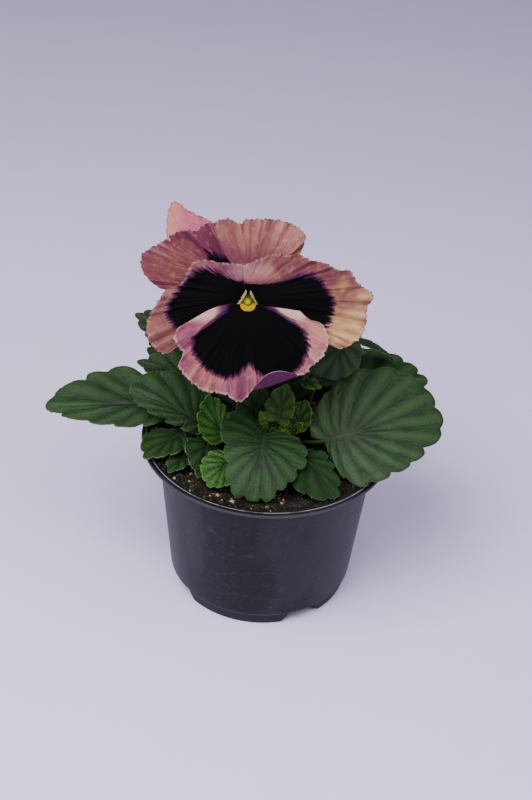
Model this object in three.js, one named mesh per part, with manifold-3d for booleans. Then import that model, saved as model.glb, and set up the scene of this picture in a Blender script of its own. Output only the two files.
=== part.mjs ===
// A pansy in a small thermoformed nursery pot. Millimetres, +Z up, the pot's foot on z = 0 and its axis on Z.
// The bloom faces the front (-Y), looking a little upwards.
import * as THREE from "three";
import { mergeVertices } from "three/addons/utils/BufferGeometryUtils.js";
import Module from "manifold-3d";

const wasm = await Module();
wasm.setup();
const group = new THREE.Group();
group.name = "potted_pansy";

// Sizes of the pot
const LIP_RADIUS = 52.5;
const POT_HEIGHT = 71.5;
const FOOT_RADIUS = 37.9;
const WALL = 1.0;
// The foot is a band set in a little under the wall's low edge
const BAND_RADIUS = 38.4;
const BAND_TOP = 5.2;
const WALL_LOW = 6.2;
const WALL_LOW_RADIUS = 39.6;
const WALL_HIGH_RADIUS = 45.5;
const WALL_HIGH = 66.6;
const POT_SIDES = 40;
const GAP = 0.3;
// Recesses pushed up into the foot, where the pot drains
const RECESSES = 4;
const RECESS_FIRST_DEG = -60;
const RECESS_HALF_DEG = 16;
const RECESS_INNER_RADIUS = 30;
const RECESS_HEIGHT = 5.6;
const DRAIN_RADIUS = 2.2;
const DRAIN_AT_RADIUS = 34;
// Soil and stems
const SOIL_LEVEL = 66.4;
const HOLE_FLOOR = 64;
// Thin parts
const LEAF_THICKNESS = 0.8;
const PETAL_THICKNESS = 0.7;

const v3 = (x, y, z) => new THREE.Vector3(x, y, z);
const rad = (deg) => (deg * Math.PI) / 180;

// A repeatable noise of a whole number, between -1 and 1.
function noise(i) {
  const s = Math.sin(i * 12.9898 + 4.1) * 43758.5453;
  return 2 * (s - Math.floor(s)) - 1;
}

// A closed solid from points and triangles, turned outwards if its faces point inwards.
function solid(points, faces) {
  let volume = 0;
  for (const [a, b, c] of faces) {
    volume += points[a].dot(points[b].clone().cross(points[c]));
  }
  const turned = volume < 0 ? faces.map(([a, b, c]) => [a, c, b]) : faces;
  const vertProperties = new Float32Array(points.length * 3);
  points.forEach((p, i) => vertProperties.set(p.toArray(), i * 3));
  const triVerts = new Uint32Array(turned.flat());
  return new wasm.Manifold(new wasm.Mesh({ numProp: 3, vertProperties, triVerts }));
}

// A profile of [radius, z] points from axis to axis, turned round Z.
function turned(profile, sides, at = [0, 0]) {
  const points = [];
  const rings = profile.map(([r, z]) => {
    if (r === 0) {
      points.push(v3(at[0], at[1], z));
      return Array(sides).fill(points.length - 1);
    }
    return Array.from({ length: sides }, (_, k) => {
      const a = (2 * Math.PI * k) / sides;
      points.push(v3(at[0] + r * Math.cos(a), at[1] + r * Math.sin(a), z));
      return points.length - 1;
    });
  });
  const faces = [];
  for (let i = 0; i + 1 < rings.length; i++) {
    for (let k = 0; k < sides; k++) {
      const n = (k + 1) % sides;
      const [a, b, c, d] = [rings[i][k], rings[i][n], rings[i + 1][n], rings[i + 1][k]];
      if (a !== b) faces.push([a, b, c]);
      if (c !== d) faces.push([a, c, d]);
    }
  }
  return solid(points, faces);
}

// A block bent round Z, between two radii, two heights and two angles.
function arcBlock(r0, r1, z0, z1, midDeg, halfDeg, steps = 4) {
  const points = [];
  const faces = [];
  for (let i = 0; i <= steps; i++) {
    const a = rad(midDeg - halfDeg + (2 * halfDeg * i) / steps);
    for (const [r, z] of [[r0, z0], [r1, z0], [r1, z1], [r0, z1]]) {
      points.push(v3(r * Math.cos(a), r * Math.sin(a), z));
    }
  }
  for (let i = 0; i < steps; i++) {
    for (let k = 0; k < 4; k++) {
      const [a, b] = [4 * i + k, 4 * i + ((k + 1) % 4)];
      faces.push([a, b, b + 4], [a, b + 4, a + 4]);
    }
  }
  const e = 4 * steps;
  faces.push([0, 2, 1], [0, 3, 2], [e, e + 1, e + 2], [e, e + 2, e + 3]);
  return solid(points, faces);
}

// A round stalk along a curve, its radius going from r0 to r1.
function stalk(curve, r0, r1, steps, sides) {
  const frames = curve.computeFrenetFrames(steps, false);
  const points = [curve.getPointAt(0)];
  const faces = [];
  const last = 1 + (steps + 1) * sides;
  for (let i = 0; i <= steps; i++) {
    const p = curve.getPointAt(i / steps);
    const r = r0 + ((r1 - r0) * i) / steps;
    for (let k = 0; k < sides; k++) {
      const a = (2 * Math.PI * k) / sides;
      points.push(
        p.clone()
          .addScaledVector(frames.normals[i], r * Math.cos(a))
          .addScaledVector(frames.binormals[i], r * Math.sin(a)),
      );
      const n = (k + 1) % sides;
      const here = 1 + i * sides;
      if (i === 0) faces.push([0, here + n, here + k]);
      if (i < steps) {
        faces.push([here + k, here + n, here + sides + n], [here + k, here + sides + n, here + sides + k]);
      } else {
        faces.push([last, here + k, here + n]);
      }
    }
  }
  points.push(curve.getPointAt(1));
  return solid(points, faces);
}

// A thin blade from a top surface: the same triangles again below it, and a wall round the margin.
// ring lists the margin's points in order.
function blade(top, tris, ring, down) {
  const n = top.length;
  const points = [...top, ...top.map((p) => p.clone().add(down))];
  const faces = [...tris, ...tris.map(([a, b, c]) => [a + n, c + n, b + n])];
  const used = new Set(tris.map(([a, b]) => a + "," + b).concat(tris.map(([, b, c]) => b + "," + c)));
  tris.forEach(([a, , c]) => used.add(c + "," + a));
  ring.forEach((a, i) => {
    const b = ring[(i + 1) % ring.length];
    const [p, q] = used.has(a + "," + b) ? [b, a] : [a, b];
    faces.push([p, q, q + n], [p, q + n, p + n]);
  });
  return solid(points, faces);
}

// Adds a solid to the group as a named mesh.
function piece(name, made, colour, roughness) {
  const m = made.getMesh();
  let geometry = new THREE.BufferGeometry();
  geometry.setAttribute("position", new THREE.BufferAttribute(new Float32Array(m.vertProperties), 3));
  geometry.setIndex(new THREE.BufferAttribute(new Uint32Array(m.triVerts), 1));
  geometry = mergeVertices(geometry, 1e-4);
  geometry.computeVertexNormals();
  const material = new THREE.MeshStandardMaterial({ color: colour, roughness, metalness: 0 });
  const mesh = new THREE.Mesh(geometry, material);
  mesh.name = name;
  group.add(mesh);
}

// Evenly spaced points along a smooth line through the given [a, w] points.
function spaced(knots, count) {
  const curve = new THREE.CatmullRomCurve3(knots.map(([a, w]) => v3(a, w, 0)), false, "centripetal");
  curve.arcLengthDivisions = 400;
  return curve.getSpacedPoints(count).map((p) => [p.x, p.y]);
}

// The pot: foot, wall and rolled-out lip in one thin skin, its four recesses roofed over and drained.
const wallRadius = (z) =>
  WALL_LOW_RADIUS + ((z - WALL_LOW) * (WALL_HIGH_RADIUS - WALL_LOW_RADIUS)) / (WALL_HIGH - WALL_LOW);
let pot = turned(
  [
    [0, 0],
    [FOOT_RADIUS, 0],
    [BAND_RADIUS, BAND_TOP],
    [WALL_LOW_RADIUS, WALL_LOW],
    [WALL_HIGH_RADIUS, WALL_HIGH],
    [47.2, 69.3],
    [50.2, 70.0],
    [52.2, 69.9],
    [LIP_RADIUS, 70.3],
    [LIP_RADIUS, 71.0],
    [52.1, POT_HEIGHT - 0.2],
    [49.4, POT_HEIGHT],
    [46.6, 70.6],
    [44.9, 68.8],
    [WALL_HIGH_RADIUS - WALL, WALL_HIGH],
    [WALL_LOW_RADIUS - WALL, WALL_LOW + 0.2],
    [BAND_RADIUS - WALL, BAND_TOP - 0.2],
    [FOOT_RADIUS - WALL, WALL + 0.2],
    [0, WALL + 0.2],
  ],
  POT_SIDES,
);
const recessDegs = Array.from({ length: RECESSES }, (_, k) => RECESS_FIRST_DEG + (360 / RECESSES) * k);
for (const deg of recessDegs) {
  const roofTop = RECESS_HEIGHT + WALL;
  const sides = arcBlock(RECESS_INNER_RADIUS - WALL, FOOT_RADIUS - 0.5, 0.5, roofTop, deg, RECESS_HALF_DEG + 1.5);
  const roof = arcBlock(RECESS_INNER_RADIUS, WALL_LOW_RADIUS - 0.8, RECESS_HEIGHT, roofTop, deg, RECESS_HALF_DEG + 1.5);
  const cut = arcBlock(RECESS_INNER_RADIUS, WALL_LOW_RADIUS + 3, -1, RECESS_HEIGHT, deg, RECESS_HALF_DEG);
  const drainAt = [DRAIN_AT_RADIUS * Math.cos(rad(deg)), DRAIN_AT_RADIUS * Math.sin(rad(deg))];
  const drain = turned([[0, 4], [DRAIN_RADIUS, 4], [DRAIN_RADIUS, 9], [0, 9]], 12, drainAt);
  pot = pot.add(sides).add(roof).subtract(cut).subtract(drain);
}
piece("pot", pot, 0x23242a, 0.55);

// Leaf outlines as [along, across] fractions of the blade's length and half width, from leaf stalk to tip.
const OUTLINES = {
  ovate: [[0, 0.07], [0.08, 0.42], [0.26, 0.88], [0.45, 1], [0.65, 0.86], [0.82, 0.56], [0.94, 0.27]],
  round: [[-0.05, 0.35], [0.0, 0.75], [0.2, 0.98], [0.48, 1], [0.74, 0.78], [0.92, 0.4]],
};
// Half outlines of the big front leaves, in mm from the leaf stalk, as seen in the photo.
const FAR_LEFT_BACK = [[0, 1], [6, 6], [14, 12.5], [25, 18.5], [40, 16], [50, 11], [56.5, 6]];
const FAR_LEFT_FRONT = [[0, 1], [8, 8], [20, 12], [32, 11.2], [43, 8.6], [52, 5.2], [57, 2.8]];
const LEFT_BACK = [[0, 1], [2, 8], [7, 13.5], [14, 16], [23, 14.6], [31, 10.5], [36, 5]];
const LEFT_FRONT = [[0, 1], [3, 5.5], [12, 6.8], [22, 6.8], [30, 5.2], [35, 2.8]];
const FRONT_LEFT = [[-5.5, 3], [-10.5, 9], [-10, 15], [-3.5, 18.4], [6, 16.8], [14, 14], [22, 12], [28, 7.5]];
const FRONT_RIGHT = [[-2.6, 4], [-2, 11], [2.5, 17], [10, 18.2], [17, 15.2], [23, 10.5], [28.2, 5.5]];
const LOW_RIGHT_BACK = [[0, 1], [4, 6.5], [9, 8], [15, 6.6], [21, 4.8], [25, 2.2]];
const LOW_RIGHT_FRONT = [[0, 1], [1.5, 5], [6, 11], [13, 12.4], [20, 9.8], [25, 5]];
const BIG_BACK = [[-4.6, 3], [-4, 10], [1, 15.8], [8, 22.5], [18, 26], [30, 25.2], [39.5, 20.5], [46, 12.5]];
const BIG_FRONT = [[0, 0.8], [1.5, 9], [4.5, 17], [10, 21.6], [20, 21], [30, 18.2], [40, 12.8], [46.5, 7.5]];

const DEEP_GREEN = 0x2f4a30;
const MID_GREEN = 0x38593a;
const BRIGHT_GREEN = 0x3f7326;
// One row a leaf: where the blade starts and ends, which way it faces, its two half outlines and half widths, teeth a side,
// how far it arches, how far its sides rise, how deep its pleats are, its colour and where its leaf stalk leaves the soil.
const LEAVES = [
  { name: "leaf_far_left", fine: 2, base: [-34, 4, 82.5], tip: [-92, 0, 79.5], face: [0.05, -0.35, 0.94], left: FAR_LEFT_FRONT,
    right: FAR_LEFT_BACK, teeth: 5, arch: 1.2, rise: 0.5, pleat: 0.7, colour: MID_GREEN, root: [-13, 3] },
  { name: "leaf_left", fine: 2, base: [-24, -8, 80], tip: [-57, -1, 92], face: [-0.15, -0.5, 0.85], left: LEFT_FRONT,
    right: LEFT_BACK, teeth: 5, arch: 2.5, rise: -1.5, pleat: 0.7, colour: MID_GREEN, root: [-12, -3] },
  { name: "leaf_left_back", base: [-29, 14, 88], tip: [-56, 16, 94], face: [0.1, -0.45, 0.88], left: "ovate",
    right: "ovate", wide: [8, 9], teeth: 4, arch: 1, rise: 1, pleat: 0.5, colour: DEEP_GREEN, root: [-10, 8] },
  { name: "leaf_left_high", base: [-40, 27, 101], tip: [-58.5, 31, 108], face: [0.1, -0.6, 0.8], left: "ovate",
    right: "ovate", wide: [8, 7], teeth: 4, arch: 1, rise: 0.5, pleat: 0.4, colour: DEEP_GREEN, root: [-8, 12] },
  { name: "leaf_rim_left", base: [-34, -9, 77], tip: [-46, -24.8, 74.2], face: [-0.35, -0.3, 0.88], left: "ovate",
    right: "ovate", wide: [7.5, 9.5], teeth: 4, arch: 1, rise: -1, pleat: 0.6, colour: MID_GREEN, root: [-16, -1] },
  { name: "leaf_rim_left_small", base: [-30, -17, 73], tip: [-36, -31, 72.6], face: [-0.2, -0.4, 0.9], left: "ovate",
    right: "ovate", wide: [5, 5], teeth: 3, arch: 0.5, rise: 0.5, pleat: 0.4, colour: MID_GREEN, root: [-17, -7.5] },
  { name: "leaf_left_shaded", base: [-24, -11, 76.5], tip: [-26.5, -32, 72.4], face: [0.35, -0.25, 0.88], left: "ovate",
    right: "ovate", wide: [7.5, 9.5], teeth: 4, arch: 1.5, rise: 1, pleat: 0.5, colour: DEEP_GREEN, root: [-12, -9] },
  { name: "leaf_curled_front", base: [-16.7, -15.2, 79.9], tip: [-24.8, -5.7, 94.4], face: [0.35, -0.85, 0.5], left: "round",
    right: "round", wide: [9, 6], teeth: 5, arch: -2.5, rise: 2.5, pleat: 0.4, colour: BRIGHT_GREEN, root: [-8, -12] },
  { name: "leaf_bright_front", base: [-14, -25, 78], tip: [-22, -38, 72.8], face: [-0.1, -0.5, 0.85], left: "round",
    right: "round", wide: [8, 9], teeth: 5, arch: 0.5, rise: 0, pleat: 0.5, colour: BRIGHT_GREEN, root: [-5, -14.5] },
  { name: "leaf_front", fine: 2, base: [-1, -21, 88], tip: [-4, -45, 73], face: [0, -0.55, 0.83], left: FRONT_RIGHT,
    right: FRONT_LEFT, teeth: 7, arch: 3, rise: -2, pleat: 0.6, colour: MID_GREEN, root: [-1, -11] },
  { name: "leaf_front_right", fine: 2, base: [13, -21, 80], tip: [29, -40, 73.5], face: [0.1, -0.5, 0.85], left: LOW_RIGHT_BACK,
    right: LOW_RIGHT_FRONT, teeth: 4, arch: 1.5, rise: 0.5, pleat: 0.5, colour: BRIGHT_GREEN, root: [6, -13] },
  { name: "leaf_young_centre", base: [3.2, -14.5, 89.5], tip: [6.5, -10.5, 105], face: [-0.25, -0.9, 0.4], left: "round",
    right: "round", wide: [6, 6], teeth: 3, arch: -1.5, rise: 2.5, pleat: 0.3, colour: BRIGHT_GREEN, root: [2.5, -8] },
  { name: "leaf_dark_centre", base: [-5, -6.5, 82.3], tip: [-6.5, -3, 100.3], face: [-0.1, -0.9, 0.4], left: "round",
    right: "round", wide: [7.5, 7], teeth: 3, arch: 1, rise: 0.5, pleat: 0.4, colour: MID_GREEN, root: [-4.5, -6.5] },
  { name: "leaf_behind_centre", base: [4, 1.5, 82], tip: [9, 4, 104], face: [-0.1, -0.9, 0.4], left: "round",
    right: "round", wide: [9, 11], teeth: 5, arch: 1, rise: -1, pleat: 0.5, colour: DEEP_GREEN, root: [4.5, -1] },
  { name: "leaf_young_right", base: [11, -12.5, 85.5], tip: [15, -8, 96], face: [-0.4, -0.75, 0.5], left: "round",
    right: "round", wide: [5.5, 5.5], teeth: 3, arch: -1, rise: 2, pleat: 0.3, colour: BRIGHT_GREEN, root: [7, -8] },
  { name: "leaf_small_right", base: [12, -6.5, 104.5], tip: [20.5, -9, 103.5], face: [0.1, -0.5, 0.85], left: "ovate",
    right: "ovate", wide: [2.8, 2.8], teeth: 2, arch: 1, rise: 0, pleat: 0.2, colour: BRIGHT_GREEN, root: [6.5, -3.5] },
  { name: "leaf_big_right", fine: 2, base: [23, -18, 84], tip: [70, -9, 92], face: [0.1, -0.6, 0.79], left: BIG_BACK,
    right: BIG_FRONT, teeth: 7, arch: 4, rise: -2, pleat: 0.9, colour: MID_GREEN, root: [12, -7] },
  { name: "leaf_right_back", fine: 2, base: [33, 16, 82], tip: [66.5, 26, 87], face: [0.05, -0.3, 0.95], left: "round",
    right: "round", wide: [21, 18], teeth: 6, arch: 2.5, rise: -1.5, pleat: 0.7, colour: DEEP_GREEN, root: [14, 2] },
  { name: "leaf_right_arched", base: [31, 23, 107], tip: [52.5, 31, 92.5], face: [0.37, 0.31, 0.9], left: "ovate",
    right: "ovate", wide: [7, 7], teeth: 4, arch: 3, rise: -1, pleat: 0.5, colour: DEEP_GREEN, root: [10, 8] },
  { name: "leaf_under_petal", base: [27, 2, 121], tip: [25.5, -4, 104.5], face: [0.05, -0.9, 0.4], left: "round",
    right: "round", wide: [9.5, 13], teeth: 4, arch: 1.5, rise: -1, pleat: 0.6, colour: DEEP_GREEN, root: [13.5, -2.5], bends: 5, behind: [0, 6, -3] },
  { name: "leaf_back_left", base: [-26, 22, 78], tip: [-54, 50, 82], face: [-0.2, 0.3, 0.93], left: "ovate",
    right: "ovate", wide: [15, 15], teeth: 5, arch: 4, rise: -1, pleat: 0.7, colour: MID_GREEN, root: [-9.5, 15] },
  { name: "leaf_back", base: [-4, 28, 86], tip: [-10, 68, 88], face: [0, 0.25, 0.96], left: "round",
    right: "round", wide: [19, 18], teeth: 6, arch: 4, rise: -2, pleat: 0.8, colour: MID_GREEN, root: [-2, 12] },
  { name: "leaf_back_right", base: [22, 28, 80], tip: [46, 56, 81], face: [0.2, 0.3, 0.93], left: "ovate",
    right: "ovate", wide: [14, 14], teeth: 5, arch: 3.5, rise: -1, pleat: 0.7, colour: MID_GREEN, root: [6, 13] },
  { name: "leaf_back_high", base: [8, 18, 101], tip: [16, 44, 112], face: [0, -0.4, 0.9], left: "ovate",
    right: "ovate", wide: [9, 9], teeth: 4, arch: 1.5, rise: 1, pleat: 0.5, colour: MID_GREEN, root: [3, 9] },
  { name: "leaf_back_low", base: [12, 31, 73], tip: [15, 47, 74.5], face: [0, 0.3, 0.95], left: "round",
    right: "round", wide: [7, 7], teeth: 4, arch: 1, rise: 0, pleat: 0.4, colour: BRIGHT_GREEN, root: [3, 17] },
  { name: "leaf_back_low_left", base: [-17, 33, 73], tip: [-24, 47, 74.5], face: [0, 0.3, 0.95], left: "round",
    right: "round", wide: [7, 7], teeth: 4, arch: 1, rise: 0, pleat: 0.4, colour: BRIGHT_GREEN, root: [-6, 19.3] },
];
const STALK_RADIUS = 0.95;

// One half outline in mm, ending at the tip.
function halfOutline(outline, length, wide) {
  const knots = typeof outline === "string" ? OUTLINES[outline].map(([a, w]) => [a * length, w * wide]) : outline;
  return [...knots, [length * 1.015, 0]];
}

// A crenate blade with sunken veins: each half is a fan of rows from the midrib to the margin, a notch at each vein's end.
function leaf(row) {
  const base = v3(...row.base);
  const tip = v3(...row.tip);
  const length = tip.distanceTo(base);
  const along = tip.clone().sub(base).normalize();
  const up = v3(...row.face);
  up.addScaledVector(along, -up.dot(along)).normalize();
  const across = along.clone().cross(up);
  const [wideLeft, wideRight] = row.wide ?? [0, 0];
  const rowsPerTooth = row.fine ? 4 : 2;
  const rows = rowsPerTooth * row.teeth + rowsPerTooth / 2;
  const steps = row.fine ?? 2;
  const top = [];
  const place = (a, w, s, lobe) => {
    const t = a / length;
    const half = Math.max(row.widest, 1);
    const height =
      row.arch * 4 * t * (1 - t) + row.rise * (w / half) ** 2 + row.pleat * (lobe - 0.6) * s * (2 - s);
    top.push(
      base.clone().addScaledVector(along, a).addScaledVector(across, w).addScaledVector(up, height),
    );
    return top.length - 1;
  };
  const lines = [];
  const halves = [
    [-1, halfOutline(row.left, length, wideLeft)],
    [1, halfOutline(row.right, length, wideRight)],
  ];
  row.widest = Math.max(...halves.flatMap(([, knots]) => knots.map(([, w]) => w)));
  const feet = [];
  for (let i = 0; i <= rows; i++) feet.push(place(0.7 * length * (i / rows), 0, 0, 1));
  for (const [side, knots] of halves) {
    // the outline runs on past the tip as its mirror image, so that the tip is round
    const mirrored = knots.slice(-3, -1).reverse();
    const whole = [...knots, ...mirrored.map(([a, w]) => [a, -w])];
    const curve = new THREE.CatmullRomCurve3(whole.map(([a, w]) => v3(a, w, 0)), false, "centripetal");
    const dense = Array.from({ length: 301 }, (_, k) => curve.getPoint((k / 300) * ((knots.length - 1) / (whole.length - 1))));
    const reach = [0];
    for (let k = 1; k < dense.length; k++) reach.push(reach[k - 1] + dense[k].distanceTo(dense[k - 1]));
    const grid = [];
    for (let i = 0; i <= rows; i++) {
      if (side === 1 && i === rows) {
        grid.push(lines[0][rows]);
        break;
      }
      const q = i / rows;
      const goal = q * reach.at(-1);
      let k = reach.findIndex((r) => r >= goal);
      k = Math.max(k, 1);
      const f = (goal - reach[k - 1]) / (reach[k] - reach[k - 1]);
      const rim = dense[k - 1].clone().lerp(dense[k], f);
      const lobe = Math.abs(Math.sin(Math.PI * (row.teeth + 0.5) * q));
      const foot = 0.7 * length * q;
      const notch = (1 - lobe) * Math.min(1.5, 0.05 * length) * Math.min(1, 4 * q);
      const reachHere = Math.hypot(rim.x - foot, rim.y);
      const line = [feet[i]];
      for (let j = 1; j <= steps; j++) {
        const s = (j / steps) * (j === steps ? 1 - notch / reachHere : 1);
        line.push(place(foot + (rim.x - foot) * s, side * rim.y * s, j / steps, lobe));
      }
      grid.push(line);
    }
    lines.push(grid);
  }
  const tris = [];
  lines.forEach((grid, h) => {
    for (let i = 0; i < rows; i++) {
      for (let j = 0; j < steps; j++) {
        const [a, b, c, d] = [grid[i][j], grid[i][j + 1], grid[i + 1][j + 1], grid[i + 1][j]];
        const pair = [[a, b, c], [a, c, d]];
        tris.push(...(h === 0 ? pair : pair.map(([p, q, r]) => [p, r, q])));
      }
    }
  });
  const [l, r] = lines;
  const ring = [
    ...l[0],
    ...l.slice(1).map((line) => line.at(-1)),
    ...r.slice(0, rows).reverse().map((line) => line.at(-1)),
    ...r[0].slice(1, -1).reverse(),
  ];
  const sheet = blade(top, tris, ring, up.clone().multiplyScalar(-LEAF_THICKNESS));
  const [rx, ry] = row.root;
  const low = row.behind ? base.clone().add(v3(...row.behind)) : base.clone().addScaledVector(along, -7).add(v3(0, 0, -1.5));
  const path = new THREE.CubicBezierCurve3(
    v3(rx, ry, HOLE_FLOOR + 0.5),
    v3(rx, ry, (HOLE_FLOOR + low.z) / 2 + 6),
    low,
    base.clone().addScaledVector(along, 2.5).addScaledVector(up, (row.arch * 10) / length - 0.6),
  );
  return sheet.add(stalk(path, STALK_RADIUS, 0.8, row.bends ?? 5, 5));
}

for (const row of LEAVES) piece(row.name, leaf(row), row.colour, 0.5);

// The bloom's own frame: x to its right side as seen from the front, y up its face, out towards the viewer.
const THROAT = v3(-10.9, -15, 145.9);
const FACE_UP_DEG = 35.1;
const FACE_ROLL_DEG = 3.43;
const LOOK_UP_DEG = 31.1;
const tilted = v3(0, Math.sin(rad(FACE_UP_DEG)), Math.cos(rad(FACE_UP_DEG)));
const level = v3(1, 0, 0);
const faceX = level.clone().multiplyScalar(Math.cos(rad(FACE_ROLL_DEG))).addScaledVector(tilted, Math.sin(rad(FACE_ROLL_DEG)));
const faceY = tilted.clone().multiplyScalar(Math.cos(rad(FACE_ROLL_DEG))).addScaledVector(level, -Math.sin(rad(FACE_ROLL_DEG)));
const faceOut = v3(0.018, -Math.cos(rad(LOOK_UP_DEG)), Math.sin(rad(LOOK_UP_DEG)));
const VIEW_DISTANCE = 530;
const onFace = (x, y, out) => {
  const shrink = 1 - out / VIEW_DISTANCE;
  return THROAT.clone()
    .addScaledVector(faceX, x * shrink)
    .addScaledVector(faceY, y * shrink)
    .addScaledVector(faceOut, out);
};

// One row a petal: its claw's two ends and its margin, in mm on the bloom's face, and how it stands out of that face.
// slopes are the lift per mm up the face above and below the throat; waves ruffle the margin.
const PETALS = [
  { name: "petal_lower", colour: 0xa8647a, claw: [[-2.2, -1.6], [3.2, -1.6]], layer: 2.2, slopes: [0.1, 0.22], away: 0,
    waves: 5.5, ruffle: 1.1, fine: 0.5,
    margin: [[-21.6, -8.3], [-26.1, -10.6], [-27.7, -14.8], [-25.4, -18.6], [-24.3, -20.5], [-26.1, -25], [-24.2, -28],
      [-20.5, -31.8], [-15.9, -34.8], [-12.1, -35.2], [-7.2, -36.4], [-4.2, -38.6], [-1.5, -38.3], [2.3, -34.5],
      [6.1, -33.6], [12.1, -32.2], [18.6, -29.5], [21.6, -28], [24.2, -24.2], [28, -21.8], [30.3, -18.6], [31.1, -14.8],
      [28.4, -9.1], [23.5, -7.2], [20.1, -4.2]] },
  { name: "petal_side_left", colour: 0xa06a70, claw: [[-1.0, 3.6], [-2.8, -0.7]], layer: 0, slopes: [0.05, 0.22],
    away: -0.05, waves: 4.5, ruffle: 1.0, fine: 0.5,
    margin: [[-1.3, 13.6], [-6.6, 14], [-10.5, 14.2], [-14.8, 15.2], [-19.3, 14.8], [-21.6, 12.9], [-25, 6.4],
      [-31.1, 3.4], [-33.7, -0.4], [-35.6, -3.4], [-37.9, -8], [-37.9, -13.6], [-36, -17.4], [-31.8, -20.5],
      [-28.6, -19.3], [-26.5, -16.7], [-21.6, -15]] },
  { name: "petal_side_right", colour: 0xb68468, claw: [[-0.5, 3.7], [4.2, -1.7]], layer: 0, slopes: [0.05, 0.22],
    away: -0.05, waves: 5, ruffle: 1.0, fine: 0.5,
    margin: [[-0.9, 13.1], [2.7, 14.8], [8, 16.7], [11, 17.4], [15.5, 16.9], [19.7, 17.4], [24.2, 15.2], [29.9, 14],
      [34.8, 11.4], [39.4, 11], [41.3, 7.6], [43.6, 5.3], [48.1, 1.8], [45.5, -3.4], [45.5, -7.2], [43.6, -13.6],
      [41.7, -15.5], [36, -18.6], [33, -17.8], [28, -15.6]] },
  { name: "petal_top_left", colour: 0x93506a, claw: [[-3.4, 3.4], [-1.2, 5.2]], layer: -4.4, slopes: [-0.12, 0.1],
    away: -0.04, waves: 5, ruffle: 1.0, fine: 0.5,
    margin: [[-23.5, 3.8], [-31.8, 4], [-36.7, 7.2], [-39.8, 11.4], [-40.3, 15.2], [-39.8, 17.4], [-36, 20.1],
      [-32.4, 22], [-27.3, 25.4], [-23.1, 26.5], [-18.6, 26.3], [-16.7, 28.4], [-12.1, 29.2], [-7.2, 27.3], [-3.5, 21]] },
  { name: "petal_top_right", colour: 0xa86f66, claw: [[-0.6, 5.4], [3.0, 3.8]], layer: -0.6, slopes: [-0.12, 0.1],
    away: -0.04, waves: 7.5, ruffle: 1.0, fine: 0.5,
    margin: [[-9.5, 19], [-12.1, 24.6], [-12.1, 29.2], [-9.1, 30.7], [-6.4, 30.7], [-2.3, 28.8], [-1.1, 30.3],
      [2.3, 30.7], [9.1, 30.7], [14, 29.9], [19.1, 27.8], [22.3, 24.2], [21.2, 19.7], [18.2, 13.3], [12, 8]] },
];
// The folded-back flap of the upper left petal
const FLAP = { claw: [[-22, 13], [-13, 14]], layer: -2.9, slopes: [-0.3, 0], away: 0, waves: 2, ruffle: 0.5, fine: 0.4,
  margin: [[-29, 20], [-30.5, 23.5], [-30.5, 27.3], [-30.3, 32.2], [-29.2, 35.6], [-28.6, 37.1], [-25.4, 36.7],
    [-23.5, 34.8], [-18.6, 32.2], [-13.6, 29.7], [-11, 24]] };
const FUNNEL = 2.6;
const FUNNEL_RADIUS = 6;

// How far a petal stands out of the bloom's face at a point of it.
function petalOut(p, x, y, s, q) {
  const slope = y > 0 ? p.slopes[0] : p.slopes[1];
  const funnel = FUNNEL * Math.exp(-(x * x + y * y) / FUNNEL_RADIUS ** 2);
  const ends = Math.min(1, 8 * q, 8 * (1 - q));
  const wave = p.ruffle * s ** 3 * ends * Math.sin(2 * Math.PI * p.waves * q);
  return p.layer + slope * y + p.away * Math.abs(x) - funnel + wave;
}

function petal(p, columns, steps) {
  const rim = spaced(p.margin, columns);
  const top = [];
  const grid = rim.map(([mx, my], i) => {
    const q = i / columns;
    const cx = p.claw[0][0] + (p.claw[1][0] - p.claw[0][0]) * q;
    const cy = p.claw[0][1] + (p.claw[1][1] - p.claw[0][1]) * q;
    const reach = Math.hypot(mx - cx, my - cy);
    const nick = (i > 0 && i < columns ? p.fine * noise(i + p.waves * 10) : 0) / reach;
    return Array.from({ length: steps + 1 }, (_, j) => {
      const s = (j / steps) * (j === steps ? 1 + nick : 1);
      const x = cx + (mx - cx) * s;
      const y = cy + (my - cy) * s;
      top.push(onFace(x, y, petalOut(p, x, y, j / steps, q)));
      return top.length - 1;
    });
  });
  const tris = [];
  for (let i = 0; i < columns; i++) {
    for (let j = 0; j < steps; j++) {
      const [a, b, c, d] = [grid[i][j], grid[i][j + 1], grid[i + 1][j + 1], grid[i + 1][j]];
      tris.push([a, b, c], [a, c, d]);
    }
  }
  const ring = [
    ...grid[0],
    ...grid.slice(1, -1).map((line) => line.at(-1)),
    ...grid.at(-1).slice().reverse(),
    ...grid.slice(1, -1).reverse().map((line) => line[0]),
  ];
  return blade(top, tris, ring, faceOut.clone().multiplyScalar(-PETAL_THICKNESS));
}

for (const p of PETALS) {
  let made = petal(p, 32, 4);
  if (p.name === "petal_top_left") made = made.add(petal(FLAP, 14, 2));
  piece(p.name, made, p.colour, 0.6);
}

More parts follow.
